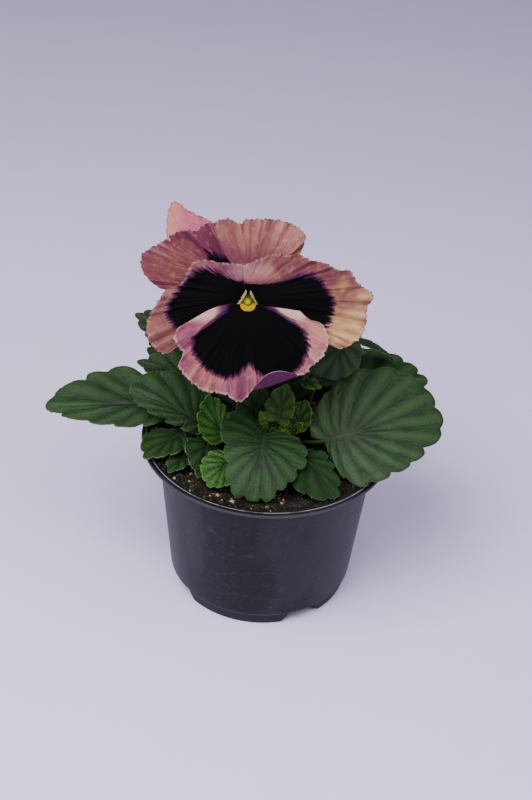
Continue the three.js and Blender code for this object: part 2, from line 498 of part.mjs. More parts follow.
// The pistil: a small rounded knob standing on the receptacle in the throat.
const turnOnFace = (profile, x, y, sides) => {
  const points = [];
  const rings = profile.map(([r, out]) => {
    if (r === 0) {
      points.push(onFace(x, y, out));
      return Array(sides).fill(points.length - 1);
    }
    return Array.from({ length: sides }, (_, k) => {
      const a = (2 * Math.PI * k) / sides;
      points.push(onFace(x + r * Math.cos(a), y + r * Math.sin(a), out));
      return points.length - 1;
    });
  });
  const faces = [];
  for (let i = 0; i + 1 < rings.length; i++) {
    for (let k = 0; k < sides; k++) {
      const n = (k + 1) % sides;
      const [a, b, c, d] = [rings[i][k], rings[i][n], rings[i + 1][n], rings[i + 1][k]];
      if (a !== b) faces.push([a, b, c]);
      if (c !== d) faces.push([a, c, d]);
    }
  }
  return solid(points, faces);
};
const RECEPTACLE_OUT = -7.2;
piece(
  "pistil",
  turnOnFace([[0, RECEPTACLE_OUT + GAP], [1.3, RECEPTACLE_OUT + GAP], [1.1, -4], [1.5, -2.4], [1.3, -1.2], [0, -0.8]], 0.4, 0.4, 10),
  0xb7b52a,
  0.5,
);

// The flower stalk rises behind the leaves, hooks over and ends in the receptacle, with five sepals round it.
const stalkTop = onFace(0.2, 1.6, -11.8);
const stalkPath = new THREE.CatmullRomCurve3(
  [
    v3(-1, 5.5, HOLE_FLOOR + 1),
    v3(-1.5, 6.5, 85),
    v3(-5, 8.5, 115),
    v3(-8.5, 9, 138),
    v3(-10, 5, 147),
    v3(-10.8, -1, 147.5),
    stalkTop,
  ],
  false,
  "centripetal",
);
let flowerStalk = stalk(stalkPath, 1.5, 1.2, 12, 6).add(
  turnOnFace([[0, -12.6], [1.6, -12.2], [3.4, -10.4], [4, -8.6], [3.9, RECEPTACLE_OUT], [0, RECEPTACLE_OUT]], 0, 1.8, 8),
);
const SEPALS = 5;
const SEPAL_LENGTH = 14;
for (let k = 0; k < SEPALS; k++) {
  const turn = rad(90 + (360 / SEPALS) * k);
  const dir = [Math.cos(turn), Math.sin(turn)];
  const sepal = [[0, 1.6], [0.2, 2.4], [0.55, 2], [0.85, 1], [1, 0.3]];
  const top = [];
  const tris = [];
  sepal.forEach(([t, w], i) => {
    for (const side of [-1, 0, 1]) {
      const a = 1.5 + t * SEPAL_LENGTH;
      const x = dir[0] * a - dir[1] * side * w;
      const y = 1.8 + dir[1] * a + dir[0] * side * w;
      top.push(onFace(x, y, -9.2 - 3 * t * t + 0.4 * Math.abs(side)));
    }
    if (i === 0) return;
    const n = 3 * i;
    tris.push([n - 3, n - 2, n + 1], [n - 3, n + 1, n], [n - 2, n - 1, n + 2], [n - 2, n + 2, n + 1]);
  });
  const last = top.length;
  const ring = [0, 1, 2, 5, 8, 11, last - 1, last - 2, last - 3, 9, 6, 3];
  flowerStalk = flowerStalk.add(blade(top, tris, ring, faceOut.clone().multiplyScalar(-PETAL_THICKNESS)));
}
piece("flower_stalk", flowerStalk, 0x4d6b2c, 0.5);

// The crown: the short thick stem that the plant grows from.
const crownPath = new THREE.CatmullRomCurve3([v3(0, 0, HOLE_FLOOR + 1), v3(0.4, -0.4, 68), v3(0, 0.4, 76), v3(1, -0.5, 82)]);
piece("crown", stalk(crownPath, 3.6, 2.2, 4, 8), 0x5a6b34, 0.7);

// The soil: follows the pot's inside with a small gap, lumpy on top, with a plain hole for every stem.
const SOIL_RINGS = [[10, 67.7], [20, 67.5], [29, 67.4], [36.5, 68.2], [41.5, 69.2], [45.2, 70.2]];
const SOIL_SIDES = 28;
const soilPoints = [v3(0, 0, SOIL_LEVEL + 1.4)];
const soilFaces = [];
const soilRim = WALL_HIGH_RADIUS - WALL - GAP - 0.3;
const soilProfile = [
  ...SOIL_RINGS.map(([r, z], i) => [r, z, i === 5 ? 0 : 0.5]),
  [soilRim, SOIL_LEVEL - 0.6, 0],
  [wallRadius(WALL_LOW + 0.3) - WALL - GAP - 0.1, WALL_LOW + 0.7, 0],
  [BAND_RADIUS - WALL - GAP - 0.4, BAND_TOP - 0.2, 0],
  [FOOT_RADIUS - WALL - GAP - 0.4, WALL + 0.2 + GAP, 0],
];
soilProfile.forEach(([r, z, rough], i) => {
  for (let k = 0; k < SOIL_SIDES; k++) {
    const a = (2 * Math.PI * (k + (i % 2) / 2)) / SOIL_SIDES;
    soilPoints.push(v3(r * Math.cos(a), r * Math.sin(a), z + rough * noise(i * 100 + k)));
    const n = (k + 1) % SOIL_SIDES;
    const here = 1 + i * SOIL_SIDES;
    if (i === 0) {
      soilFaces.push([0, here + k, here + n]);
      continue;
    }
    const above = here - SOIL_SIDES;
    if (i % 2) soilFaces.push([above + k, here + k, above + n], [above + n, here + k, here + n]);
    else soilFaces.push([above + k, here + k, here + n], [above + k, here + n, above + n]);
  }
});
soilPoints.push(v3(0, 0, WALL + 0.2 + GAP));
const underCentre = soilPoints.length - 1;
const lowRing = 1 + (soilProfile.length - 1) * SOIL_SIDES;
for (let k = 0; k < SOIL_SIDES; k++) soilFaces.push([underCentre, lowRing + ((k + 1) % SOIL_SIDES), lowRing + k]);
let soil = solid(soilPoints, soilFaces);
for (const deg of recessDegs) {
  soil = soil.subtract(
    arcBlock(RECESS_INNER_RADIUS - WALL - 2 * GAP, WALL_LOW_RADIUS + 1, 0, RECESS_HEIGHT + WALL + GAP, deg, RECESS_HALF_DEG + 3.5),
  );
}
const hole = (x, y, r, sides) => turned([[0, HOLE_FLOOR], [r, HOLE_FLOOR], [r, 75], [0, 75]], sides, [x, y]);
soil = soil.subtract(hole(0, 0, 4.6, 8)).subtract(hole(-1, 5.5, 2.1, 8));
for (const row of LEAVES) soil = soil.subtract(hole(row.root[0], row.root[1], STALK_RADIUS + 1.1, 5));
piece("soil", soil, 0x2a211b, 0.95);

export default group;
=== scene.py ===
# %% [markdown]
# # A pansy in a nursery pot
# The solids come packed from the CAD source, in metres, with the pot's foot on the floor. This script keeps
# their places and dresses them: every solid gets a finer piece of the same form, and every finer piece its
# own finish. Sizes below are written in millimetres, as the plant was measured, and multiplied by MM where
# a mesh is made.

import math

import bpy
import numpy as np
from mathutils import Matrix, Vector


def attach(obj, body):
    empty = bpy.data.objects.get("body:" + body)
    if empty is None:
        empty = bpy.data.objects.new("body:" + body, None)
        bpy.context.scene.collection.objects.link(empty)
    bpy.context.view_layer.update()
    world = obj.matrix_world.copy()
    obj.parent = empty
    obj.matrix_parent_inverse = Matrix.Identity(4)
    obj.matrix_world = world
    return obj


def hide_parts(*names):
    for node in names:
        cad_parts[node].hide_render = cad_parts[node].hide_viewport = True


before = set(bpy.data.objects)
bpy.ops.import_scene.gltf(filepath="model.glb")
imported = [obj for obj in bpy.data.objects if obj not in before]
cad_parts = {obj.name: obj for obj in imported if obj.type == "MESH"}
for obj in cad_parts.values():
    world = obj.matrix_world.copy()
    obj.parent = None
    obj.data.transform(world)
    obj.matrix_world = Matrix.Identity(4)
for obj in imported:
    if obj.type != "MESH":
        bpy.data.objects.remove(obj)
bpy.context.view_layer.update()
MM = 0.001

# %% [markdown]
# Operators act on whatever is selected, and the loaded solids are selected. So a small helper clears the
# selection before each primitive, and another one closes a piece: its place goes into its mesh, it gets its
# finish, it rides on the object's one body and it stands in for its solid.


# %% Helpers for pieces
def fresh():
    if bpy.context.object and bpy.context.object.mode != "OBJECT":
        bpy.ops.object.mode_set(mode="OBJECT")
    bpy.ops.object.select_all(action="DESELECT")


def only(piece):
    fresh()
    piece.select_set(True)
    bpy.context.view_layer.objects.active = piece


def keep(piece, finish, slot, *nodes):
    piece.data.transform(piece.matrix_basis)
    piece.matrix_basis = Matrix.Identity(4)
    piece.data.materials.clear()
    piece.data.materials.append(finish.material)
    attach(piece, "root")
    if nodes:
        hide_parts(*nodes)
    print(piece.name, len(piece.data.polygons), "faces")


# %% [markdown]
# Shader maths reads best as plain sums. A Wire wraps one socket, and adding, multiplying or comparing wires
# adds the Math nodes. A Finish is one material: its node method adds any node, with its settings set first
# and then the values or links of its sockets.


# %% Wires and finishes
class Wire:
    def __init__(self, finish, socket):
        self.finish = finish
        self.socket = socket

    def output(self, index):
        return Wire(self.finish, self.socket.node.outputs[index])

    def maths(self, operation, *values):
        return self.finish.node("ShaderNodeMath", {"operation": operation}, dict(enumerate(values)))

    def __add__(self, other):
        return self.maths("ADD", self, other)

    __radd__ = __add__

    def __sub__(self, other):
        return self.maths("SUBTRACT", self, other)

    def __rsub__(self, other):
        return self.maths("SUBTRACT", other, self)

    def __mul__(self, other):
        return self.maths("MULTIPLY", self, other)

    __rmul__ = __mul__

    def __truediv__(self, other):
        return self.maths("DIVIDE", self, other)

    def __abs__(self):
        return self.maths("ABSOLUTE", self)

    def fraction(self):
        return self.maths("FRACT", self)

    def most(self, other):
        return self.maths("MAXIMUM", self, other)


# the numbers of sockets that have no name of their own
MIX_FACTOR, MIX_A, MIX_B, MIX_RESULT = 0, 6, 7, 2
OBJECT_COORDINATES = 3
MARK_VECTOR, MARK_NUMBER = 1, 2
LENGTH_OF_VECTOR = 1


class Finish:
    def __init__(self, name, constants=None):
        self.material = bpy.data.materials.new(name)
        self.material.use_nodes = True
        self.tree = self.material.node_tree
        self.shader = self.tree.nodes["Principled BSDF"]
        for socket, value in (constants or {}).items():
            self.shader.inputs[socket].default_value = value

    def node(self, kind, settings=None, sockets=None, out=0):
        made = self.tree.nodes.new(kind)
        for setting, value in (settings or {}).items():
            setattr(made, setting, value)
        for socket, value in (sockets or {}).items():
            if isinstance(value, Wire):
                self.tree.links.new(value.socket, made.inputs[socket])
            else:
                made.inputs[socket].default_value = value
        return Wire(self, made.outputs[out])

    def surface(self, links):
        for socket, wire in links.items():
            self.tree.links.new(wire.socket, self.shader.inputs[socket])

    def place(self):
        return self.node("ShaderNodeTexCoord", out=OBJECT_COORDINATES)

    def mark(self, name, out=MARK_VECTOR):
        return self.node("ShaderNodeAttribute", {"attribute_name": name}, out=out)

    def number(self, name):
        return self.mark(name, MARK_NUMBER)

    def split(self, vector):
        first = self.node("ShaderNodeSeparateXYZ", None, {0: vector})
        return first, first.output(1), first.output(2)

    def triple(self, name):
        return self.split(self.mark(name))

    def vector(self, x, y, z):
        return self.node("ShaderNodeCombineXYZ", None, {0: x, 1: y, 2: z})

    def stretched(self, vector, scales):
        return self.node("ShaderNodeVectorMath", {"operation": "MULTIPLY"}, {0: vector, 1: scales})

    def noise(self, vector, scale, detail=3.0, rough=0.5):
        sockets = {"Vector": vector, "Scale": scale, "Detail": detail, "Roughness": rough}
        return self.node("ShaderNodeTexNoise", None, sockets)

    def cells(self, vector, scale):
        sockets = {"Vector": vector, "Scale": scale}
        return self.node("ShaderNodeTexVoronoi", {"feature": "DISTANCE_TO_EDGE"}, sockets)

    def step(self, value, low, high):
        sockets = {"Value": value, "From Min": low, "From Max": high}
        return self.node("ShaderNodeMapRange", {"interpolation_type": "SMOOTHSTEP"}, sockets)

    def mix(self, factor, a, b):
        colours = {MIX_FACTOR: factor, MIX_A: a, MIX_B: b}
        return self.node("ShaderNodeMix", {"data_type": "RGBA"}, colours, MIX_RESULT)

    def bump(self, height, strength, depth_mm):
        sockets = {"Strength": strength, "Distance": depth_mm * MM, "Height": height}
        return self.node("ShaderNodeBump", None, sockets)


def paint(red, green, blue):
    """A colour as it looks on screen, 0 to 255, turned into light by the screen's standard curve."""
    light = []
    for part in (red, green, blue):
        value = part / 255
        light.append(value / 12.92 if value <= 0.04045 else ((value + 0.055) / 1.055) ** 2.4)
    return (*light, 1.0)


# %% [markdown]
# Leaves and petals are thin closed shells. No primitive comes near their crenate, pleated forms, so they
# are made in mesh code: rows of points by a formula, the same one as in the CAD source, only with many more
# rows. A Shell gathers closed bodies with the marks that their finish reads, such as how far a point is
# from the margin, and makes one mesh of them. Each body is turned to face outwards by the sign of its
# volume. Two kinds of body recur: a thin one, which is a sheet, its copy pushed down and a wall round the
# margin, and a round one, which is rings between two end points.


# %% Closed shells in mesh code
class Shell:
    def __init__(self):
        self.points = []
        self.faces = []
        self.marks = {}
        self.count = 0

    def add(self, points, faces, **marks):
        points = np.asarray(points, float)
        faces = np.asarray(faces, int)
        a, b, c, d = (points[faces[:, k]] for k in range(4))
        volume = np.sum(a * np.cross(b, c)) + np.sum(a * np.cross(c, d))
        if volume < 0:
            faces = faces[:, ::-1]
        self.points.append(points)
        self.faces.append(faces + self.count)
        for name, values in marks.items():
            self.marks.setdefault(name, []).append((self.count, np.asarray(values, float)))
        self.count += len(points)

    def make(self, name):
        mesh = bpy.data.meshes.new(name)
        faces = []
        for quad in np.vstack(self.faces).tolist():
            corners = [v for k, v in enumerate(quad) if v != quad[k - 1]]
            if len(corners) > 2:
                faces.append(corners)
        mesh.from_pydata((np.vstack(self.points) * MM).tolist(), [], faces)
        for mark, runs in self.marks.items():
            width = runs[0][1].shape[1] if runs[0][1].ndim == 2 else 1
            values = np.zeros((self.count, width))
            for start, part in runs:
                values[start:start + len(part)] = part.reshape(len(part), width)
            kind, field = ("FLOAT_VECTOR", "vector") if width == 3 else ("FLOAT", "value")
            numbers = values.astype(np.float32).ravel()
            mesh.attributes.new(mark, kind, "POINT").data.foreach_set(field, numbers)
        mesh.shade_smooth()
        mesh.validate()
        piece = bpy.data.objects.new(name, mesh)
        bpy.context.scene.collection.objects.link(piece)
        return piece


def grid_faces(index):
    """Faces between the rows of a table of point numbers; two equal corners make a triangle."""
    return np.stack([index[:-1, :-1], index[:-1, 1:], index[1:, 1:], index[1:, :-1]], axis=-1).reshape(-1, 4)


def round_faces(index, first, last):
    """Faces of a closed round form: rings of point numbers between two single end points."""
    index = np.hstack([index, index[:, :1]])
    ends = [np.full((1, index.shape[1]), end) for end in (first, last)]
    return grid_faces(np.vstack([ends[0], index, ends[1]]))


def doubled(values):
    """The marks of a sheet, once more for its underside."""
    return np.concatenate([values, values])


def thin_body(top, faces, ring, down):
    """A sheet, the same sheet pushed down, and a wall round the margin. Returns the points and faces."""
    count = len(top)
    points = np.vstack([top, top + down])
    used = {(int(f[k]), int(f[(k + 1) % 4])) for f in faces for k in range(4)}
    wall = []
    for a, b in zip(ring, np.roll(ring, -1)):
        p, q = (b, a) if (int(a), int(b)) in used else (a, b)
        wall.append([p, q, q + count, p + count])
    return points, np.vstack([faces, faces[:, ::-1] + count, wall])


def sheet_body(table, down):
    """A thin body from a table of points, closed round its four sides."""
    index = np.arange(table.shape[0] * table.shape[1]).reshape(table.shape[:2])
    ring = np.concatenate([index[0], index[1:-1, -1], index[-1][::-1], index[1:-1, 0][::-1]])
    return thin_body(table.reshape(-1, 3), grid_faces(index), ring, down)


def smooth_line(knots, count=400, end=1.0):
    """Points along a smooth line through the knots, spaced by the square root of their distances."""
    knots = np.asarray(knots, float)
    legs = len(knots) - 1
    whole = np.vstack([2 * knots[0] - knots[1], knots, 2 * knots[-1] - knots[-2]])
    at = np.linspace(0, end, count) * legs
    leg = np.minimum(at.astype(int), legs - 1)
    w = (at - leg)[:, None]
    p0, p1, p2, p3 = (whole[leg + k] for k in range(4))
    d0, d1, d2 = (np.linalg.norm(q - p, axis=1)[:, None] ** 0.5 for p, q in ((p0, p1), (p1, p2), (p2, p3)))
    t1 = d1 * ((p1 - p0) / d0 - (p2 - p0) / (d0 + d1) + (p2 - p1) / d1)
    t2 = d1 * ((p2 - p1) / d1 - (p3 - p1) / (d1 + d2) + (p3 - p2) / d2)
    return p1 + t1 * w + (3 * (p2 - p1) - 2 * t1 - t2) * w**2 + (2 * (p1 - p2) + t1 + t2) * w**3


def along_line(points, shares):
    """Points at the given shares of a line's length, and that length."""
    reach = np.concatenate([[0], np.cumsum(np.linalg.norm(np.diff(points, axis=0), axis=1))])
    goals = np.asarray(shares) * reach[-1]
    columns = [np.interp(goals, reach, column) for column in points.T]
    return np.stack(columns, axis=-1), reach[-1]


# any direction that no stem starts along
TUBE_SIDE = (0.3, 0.9, 0.2)


def tube(path, radii, sides):
    """A round closed stem along a path. Returns its points and faces."""
    path = np.asarray(path, float)
    radii = np.broadcast_to(radii, len(path))
    ahead = np.gradient(path, axis=0)
    ahead /= np.linalg.norm(ahead, axis=1)[:, None]
    side = np.cross(ahead[0], TUBE_SIDE)
    turns = 2 * math.pi * np.arange(sides) / sides
    points = [path[0]]
    for p, t, r in zip(path, ahead, radii):
        side = side - t * np.dot(side, t)
        side /= np.linalg.norm(side)
        other = np.cross(t, side)
        points.extend(p + r * (math.cos(a) * side + math.sin(a) * other) for a in turns)
    points.append(path[-1])
    index = 1 + np.arange(len(path) * sides).reshape(len(path), sides)
    return np.array(points), round_faces(index, 0, len(points) - 1)


def ripple(at, lengths, seed):
    """An uneven wave between about -1 and 1, as a sum of waves of the given lengths."""
    random = np.random.default_rng(seed)
    total = np.zeros_like(at)
    for length in lengths:
        total += np.sin(2 * math.pi * (at / length + random.random()))
    return total / math.sqrt(len(lengths))


def gap_to_outline(points, outline):
    """Distance of each flat point from a closed outline, negative inside it."""
    outline = np.asarray(outline, float)
    nearest = np.full(len(points), 1e9)
    inside = np.zeros(len(points), bool)
    for a, b in zip(outline, np.roll(outline, -1, axis=0)):
        edge = b - a
        share = np.clip(((points - a) @ edge) / (edge @ edge), 0, 1)
        nearest = np.minimum(nearest, np.linalg.norm(points - a - share[:, None] * edge, axis=1))
        crosses = (a[1] > points[:, 1]) != (b[1] > points[:, 1])
        rise = edge[1] if edge[1] else 1e-9
        inside ^= crosses & (points[:, 0] < a[0] + (points[:, 1] - a[1]) * edge[0] / rise)
    return np.where(inside, -nearest, nearest)


def unit(vector):
    vector = np.asarray(vector, float)
    return vector / np.linalg.norm(vector)


# %% [markdown]
# ## The pot
# A nursery pot is one skin of plastic, drawn into a mould: a foot with recesses that keep the drain holes
# off the bench, a bevelled foot edge, a wall that widens upwards and a lip rolled outwards. It is turned
# here the way a potter would: a circle is filled, and its rim is extruded and scaled from ring to ring up
# the outside, over the lip and down the inside. A lathe (Screw) modifier would do as well, but extruding
# keeps each ring a named size.

# %% Sizes of the pot
POT_SIDES = 176
SMOOTH_DEG = 32
WALL = 1.0
RECESSES = 4
RECESS_FIRST_DEG = -60
RECESS_HALF_DEG = 16
RECESS_TOP_HALF_DEG = 8
RECESS_LEAN = 1.0
RECESS_INNER_RADIUS = 30
RECESS_HEIGHT = 5.6
# a recess's plastic reaches a little past its sides; how far out its walls, its roof and its air go
PLASTIC_EXTRA_DEG = 1.5
WALLS_RADIUS = 37.4
WALLS_LOW = 0.5
ROOF_RADIUS = 38.8
AIR_RADIUS = 42.6
AIR_LOW = -1
BLOCK_STEPS = 8
DRAIN_RADIUS = 2.2
DRAIN_AT_RADIUS = 34
DRAIN_HEIGHT = 6.5
DRAIN_DEPTH = 5
DRAIN_SIDES = 32
# radius and height of every ring
POT_RINGS = [
    # the foot, its band and the wall outside
    (37.4, 0.0), (37.75, 0.12), (37.93, 0.5), (38.15, 2.8), (38.36, 4.9), (38.5, 5.3), (39.25, 5.9),
    (39.55, 6.25), (39.7, 7.4), (42.5, 36.0), (45.36, 65.4),
    # the lip, rolled outwards
    (45.62, 67.0), (46.2, 68.2), (47.2, 69.1), (48.6, 69.7), (50.2, 69.95), (51.7, 69.9), (52.25, 70.0),
    (52.5, 70.3), (52.5, 70.9), (52.3, 71.2), (51.9, 71.33), (50.6, 71.4), (49.4, 71.42), (48.0, 71.2),
    (46.9, 70.75), (45.9, 69.9), (45.1, 68.6), (44.7, 67.2),
    # the wall and the floor inside
    (44.45, 65.4), (41.5, 36.0), (38.6, 6.8), (38.35, 6.0), (37.5, 5.0), (37.2, 4.2), (36.95, 1.7),
    (36.5, 1.2),
]


# %% The pot's skin
def turned_pot():
    fresh()
    radius, height = POT_RINGS[0]
    bpy.ops.mesh.primitive_circle_add(
        vertices=POT_SIDES, radius=radius * MM, fill_type="TRIFAN", location=(0, 0, height * MM))
    pot = bpy.context.object
    pot.name = "nursery_pot"
    bpy.ops.object.mode_set(mode="EDIT")
    bpy.ops.mesh.select_mode(type="EDGE")
    bpy.ops.mesh.select_all(action="SELECT")
    bpy.ops.mesh.region_to_loop()
    for (r, z), (next_r, next_z) in zip(POT_RINGS, POT_RINGS[1:]):
        bpy.ops.mesh.extrude_edges_move(TRANSFORM_OT_translate={"value": (0, 0, (next_z - z) * MM)})
        bpy.ops.transform.resize(value=(next_r / r, next_r / r, 1), center_override=(0, 0, 0))
    bpy.ops.mesh.edge_face_add()
    bpy.ops.mesh.poke()
    bpy.ops.mesh.select_all(action="SELECT")
    bpy.ops.mesh.normals_make_consistent(inside=False)
    bpy.ops.object.mode_set(mode="OBJECT")
    return pot


pot = turned_pot()
print("pot skin", len(pot.data.vertices), "points")


# %% [markdown]
# The recesses are blocks bent round the pot's axis. A small plane is stood up between two radii and two
# heights, and spun through the recess's angle: spinning a face leaves a closed block. Blocks of plastic are
# joined on for the walls and the roof of each recess, and then a block of air and a round drain hole are
# taken out. The block of air grows wider towards the floor, so the sides of a recess lean, as they must to
# slide out of a mould. A spin by a positive angle turns clockwise here, so each block starts at the greater
# of its two angles. The walls and the roof share a plane, which a boolean closes badly: some edges stay open.


# %% Recesses and drain holes
def bent_block(inner, outer, low, high, middle_deg, half_deg, spread=0.0):
    """A block round the pot's axis; spread widens its low end, so that its sides lean."""
    fresh()
    start = math.radians(middle_deg + half_deg)
    bpy.ops.mesh.primitive_plane_add(size=1)
    block = bpy.context.object
    upright = Matrix.Rotation(math.radians(90), 4, "X") @ Matrix.Diagonal((outer - inner, high - low, 1, 1))
    middle = Matrix.Translation(((inner + outer) / 2, 0, (low + high) / 2))
    block.data.transform(Matrix.Scale(MM, 4) @ Matrix.Rotation(start, 4, "Z") @ middle @ upright)
    bpy.ops.object.mode_set(mode="EDIT")
    bpy.ops.mesh.select_all(action="SELECT")
    bpy.ops.mesh.spin(steps=BLOCK_STEPS, angle=math.radians(2 * half_deg), center=(0, 0, 0), axis=(0, 0, 1))
    bpy.ops.mesh.select_all(action="SELECT")
    bpy.ops.mesh.normals_make_consistent(inside=False)
    bpy.ops.object.mode_set(mode="OBJECT")
    for point in block.data.vertices:
        depth = 1 - (point.co.z / MM - low) / (high - low)
        turn = math.atan2(point.co.y, point.co.x) - math.radians(middle_deg)
        turn = (turn + math.pi) % (2 * math.pi) - math.pi
        point.co.rotate(Matrix.Rotation(turn * spread * depth, 3, "Z"))
    return block


def carve(piece, tool, operation):
    only(piece)
    bpy.ops.object.modifier_add(type="BOOLEAN")
    cut = piece.modifiers[-1]
    cut.operation = operation
    cut.solver = "EXACT"
    cut.object = tool
    bpy.ops.object.modifier_apply(modifier=cut.name)
    bpy.data.objects.remove(tool)


inner, roof_top = RECESS_INNER_RADIUS, RECESS_HEIGHT + WALL
plastic_half = RECESS_HALF_DEG + PLASTIC_EXTRA_DEG
for recess in range(RECESSES):
    deg = RECESS_FIRST_DEG + recess * 360 / RECESSES
    carve(pot, bent_block(inner - WALL, WALLS_RADIUS, WALLS_LOW, roof_top, deg, plastic_half), "UNION")
    carve(pot, bent_block(inner, ROOF_RADIUS, RECESS_HEIGHT, roof_top, deg, plastic_half), "UNION")
    air = bent_block(inner, AIR_RADIUS, AIR_LOW, RECESS_HEIGHT, deg, RECESS_TOP_HALF_DEG, RECESS_LEAN)
    carve(pot, air, "DIFFERENCE")
    x, y = (DRAIN_AT_RADIUS * MM * f(math.radians(deg)) for f in (math.cos, math.sin))
    fresh()
    bpy.ops.mesh.primitive_cylinder_add(
        vertices=DRAIN_SIDES, radius=DRAIN_RADIUS * MM, depth=DRAIN_DEPTH * MM,
        location=(x, y, DRAIN_HEIGHT * MM))
    carve(pot, bpy.context.object, "DIFFERENCE")
    print("recess", recess, "at", round(deg), "degrees:", len(pot.data.polygons), "faces")
only(pot)
bpy.ops.object.shade_smooth_by_angle(angle=math.radians(SMOOTH_DEG))
print("pot carved,", len(pot.data.polygons), "faces")

# %% [markdown]
# The plastic is nearly black and a little blue, with a satin skin. What makes it read as a real nursery pot
# is its wear: soft grey scuffs where pots rub in their trays, a film of dried water and peat near the foot,
# and hairline scratches. All of that is noise on Object coordinates, stretched along the wall, and it
# changes the roughness with the colour. The foot's band and the lip are drawn towards one dark grey, a little
# paler than the wall; on the band, which faces down, it is painted shade. A broken bright line round the
# lip's inner edge and a faint one on its outer edge are painted highlights, and so is a pale line along the
# foot's edge. The masks are found by a point's height and by its distance from the pot's axis.


# %% Pot finish
# radius of the painted highlight line along the lip's inner edge
LIP_HIGHLIGHT_RADIUS = 50.6


def pot_finish():
    f = Finish("satin_plastic", {"IOR": 1.5, "Specular IOR Level": 0.19})
    place = f.place()
    height = f.split(place)[2] / MM
    flat = f.stretched(place, (1, 1, 0))
    cloud = f.noise(place, 55, 4, 0.6)
    rubbed = f.step(f.noise(f.stretched(place, (1, 1, 2.2)), 95, 6, 0.7), 0.56, 0.74)
    scratches = f.step(f.noise(f.stretched(place, (1, 1, 9)), 420, 2, 0.5), 0.66, 0.74)
    film = f.step(9 - height + 14 * (cloud - 0.5), 0, 9)
    out = f.node("ShaderNodeVectorMath", {"operation": "LENGTH"}, {0: flat}, LENGTH_OF_VECTOR) / MM
    # noise that breaks the painted highlight along the lip's inner edge
    highlight_breaks = 0.35 + 0.65 * f.step(f.noise(place, 160, 3, 0.6), 0.4, 0.6)
    # a broken pale line on the lip's inner edge and a faint one on its outer edge: painted highlights
    inner_lip_highlight = (1 - f.step(abs(out - LIP_HIGHLIGHT_RADIUS), 0.05, 0.3)) * f.step(height, 70.6, 71.0) * highlight_breaks
    outer_lip_highlight = f.step(out, 51.9, 52.3) * f.step(height, 69.6, 70.2)
    inside = f.step(49.2 - out, 0, 1.0) * f.step(height, 66, 69)
    lip = f.step(height, 68.5, 69.5)
    # the foot's band, which faces down, is drawn towards a dark grey below: painted shade
    band = 1 - f.step(height, 5.4, 6.0)
    smear = f.step(f.noise(f.stretched(place, (1, 1, 0.5)), 26, 3, 0.5), 0.5, 0.6)
    base = f.mix(cloud, paint(4, 4, 5), paint(9, 9, 10))
    base = f.mix(smear * 0.1, base, paint(84, 82, 88))
    base = f.mix(rubbed * 0.22, base, paint(96, 94, 102))
    base = f.mix(scratches * 0.18, base, paint(140, 138, 146))
    base = f.mix(film * 0.16, base, paint(84, 80, 82))
    # a pale line along the wall's lower edge above the foot: painted highlight
    foot_edge_highlight = f.step(height, 5.7, 6.1) * (1 - f.step(height, 6.2, 6.8))
    base = f.mix((lip * 0.35).most(band * 0.7), base, paint(22, 22, 27))
    base = f.mix(foot_edge_highlight * 0.35, base, paint(92, 91, 102))
    base = f.mix(inside * 0.7, base, paint(20, 19, 23))
    # the lip's two pale lines: painted highlights
    base = f.mix((inner_lip_highlight * 0.7).most(outer_lip_highlight * 0.1), base, paint(150, 148, 160))
    grain = f.noise(place, 2600, 2, 0.5)
    f.surface({
        "Base Color": base,
        "Roughness": 0.42 + 0.16 * rubbed + 0.1 * film + 0.08 * (cloud - 0.5),
        "Normal": f.bump(grain * 0.4 + cloud * 2 + scratches * 0.5, 0.35, 0.12),
    })
    return f


keep(pot, pot_finish(), "pot_plastic", "pot")

# %% [markdown]
# ## The soil
# Potting peat is a loose, dark, fibrous bed. Its body is one closed form of rings: a lumpy top, a side that
# follows the pot's wall and a flat underside. The lumps are real relief, because they cast the small
# shadows that make soil look like soil. Crumbs and fibres are then strewn over it, and a few crumbs lie on
# the slope of the lip: one crumb is a little ball of 20 faces, bent out of round, and it is copied hundreds
# of times into one mesh.

# %% The soil's bed
SOIL_HEIGHTS = [(0, 67.8), (10, 67.7), (20, 67.5), (29, 67.4), (36.5, 68.2), (41.5, 69.2), (45.2, 70.2)]
SOIL_TOP_RADIUS = 45.3
SOIL_FLOOR = 7.2
SOIL_SIDE = [(43.9, 66.0), (38.0, 7.4), (36.0, SOIL_FLOOR), (0.2, SOIL_FLOOR)]
SOIL_RINGS = 96
SOIL_SPOKES = 260
LUMP_HEIGHT = 0.34
GRIT_HEIGHT = 0.2
SETTLED = 0.15


def soil_height(x, y):
    """Height of the bed: its level, lumps in two slanting directions, and grit."""
    one_way = LUMP_HEIGHT * ripple(x * 0.83 + y * 0.55, (9.0, 5.3, 3.1), 11)
    other_way = LUMP_HEIGHT * ripple(y * 0.9 - x * 0.42, (7.1, 4.3, 2.7), 12)
    grit = GRIT_HEIGHT * ripple(x + 0.3 * y, (1.9, 1.3, 0.9), 13) * ripple(y - 0.4 * x, (2.1, 1.2, 0.8), 14)
    level = np.interp(np.hypot(x, y), *zip(*SOIL_HEIGHTS))
    return level - SETTLED + (one_way + other_way) + grit


def soil_at(x, y):
    return soil_height(np.array([x]), np.array([y]))[0]


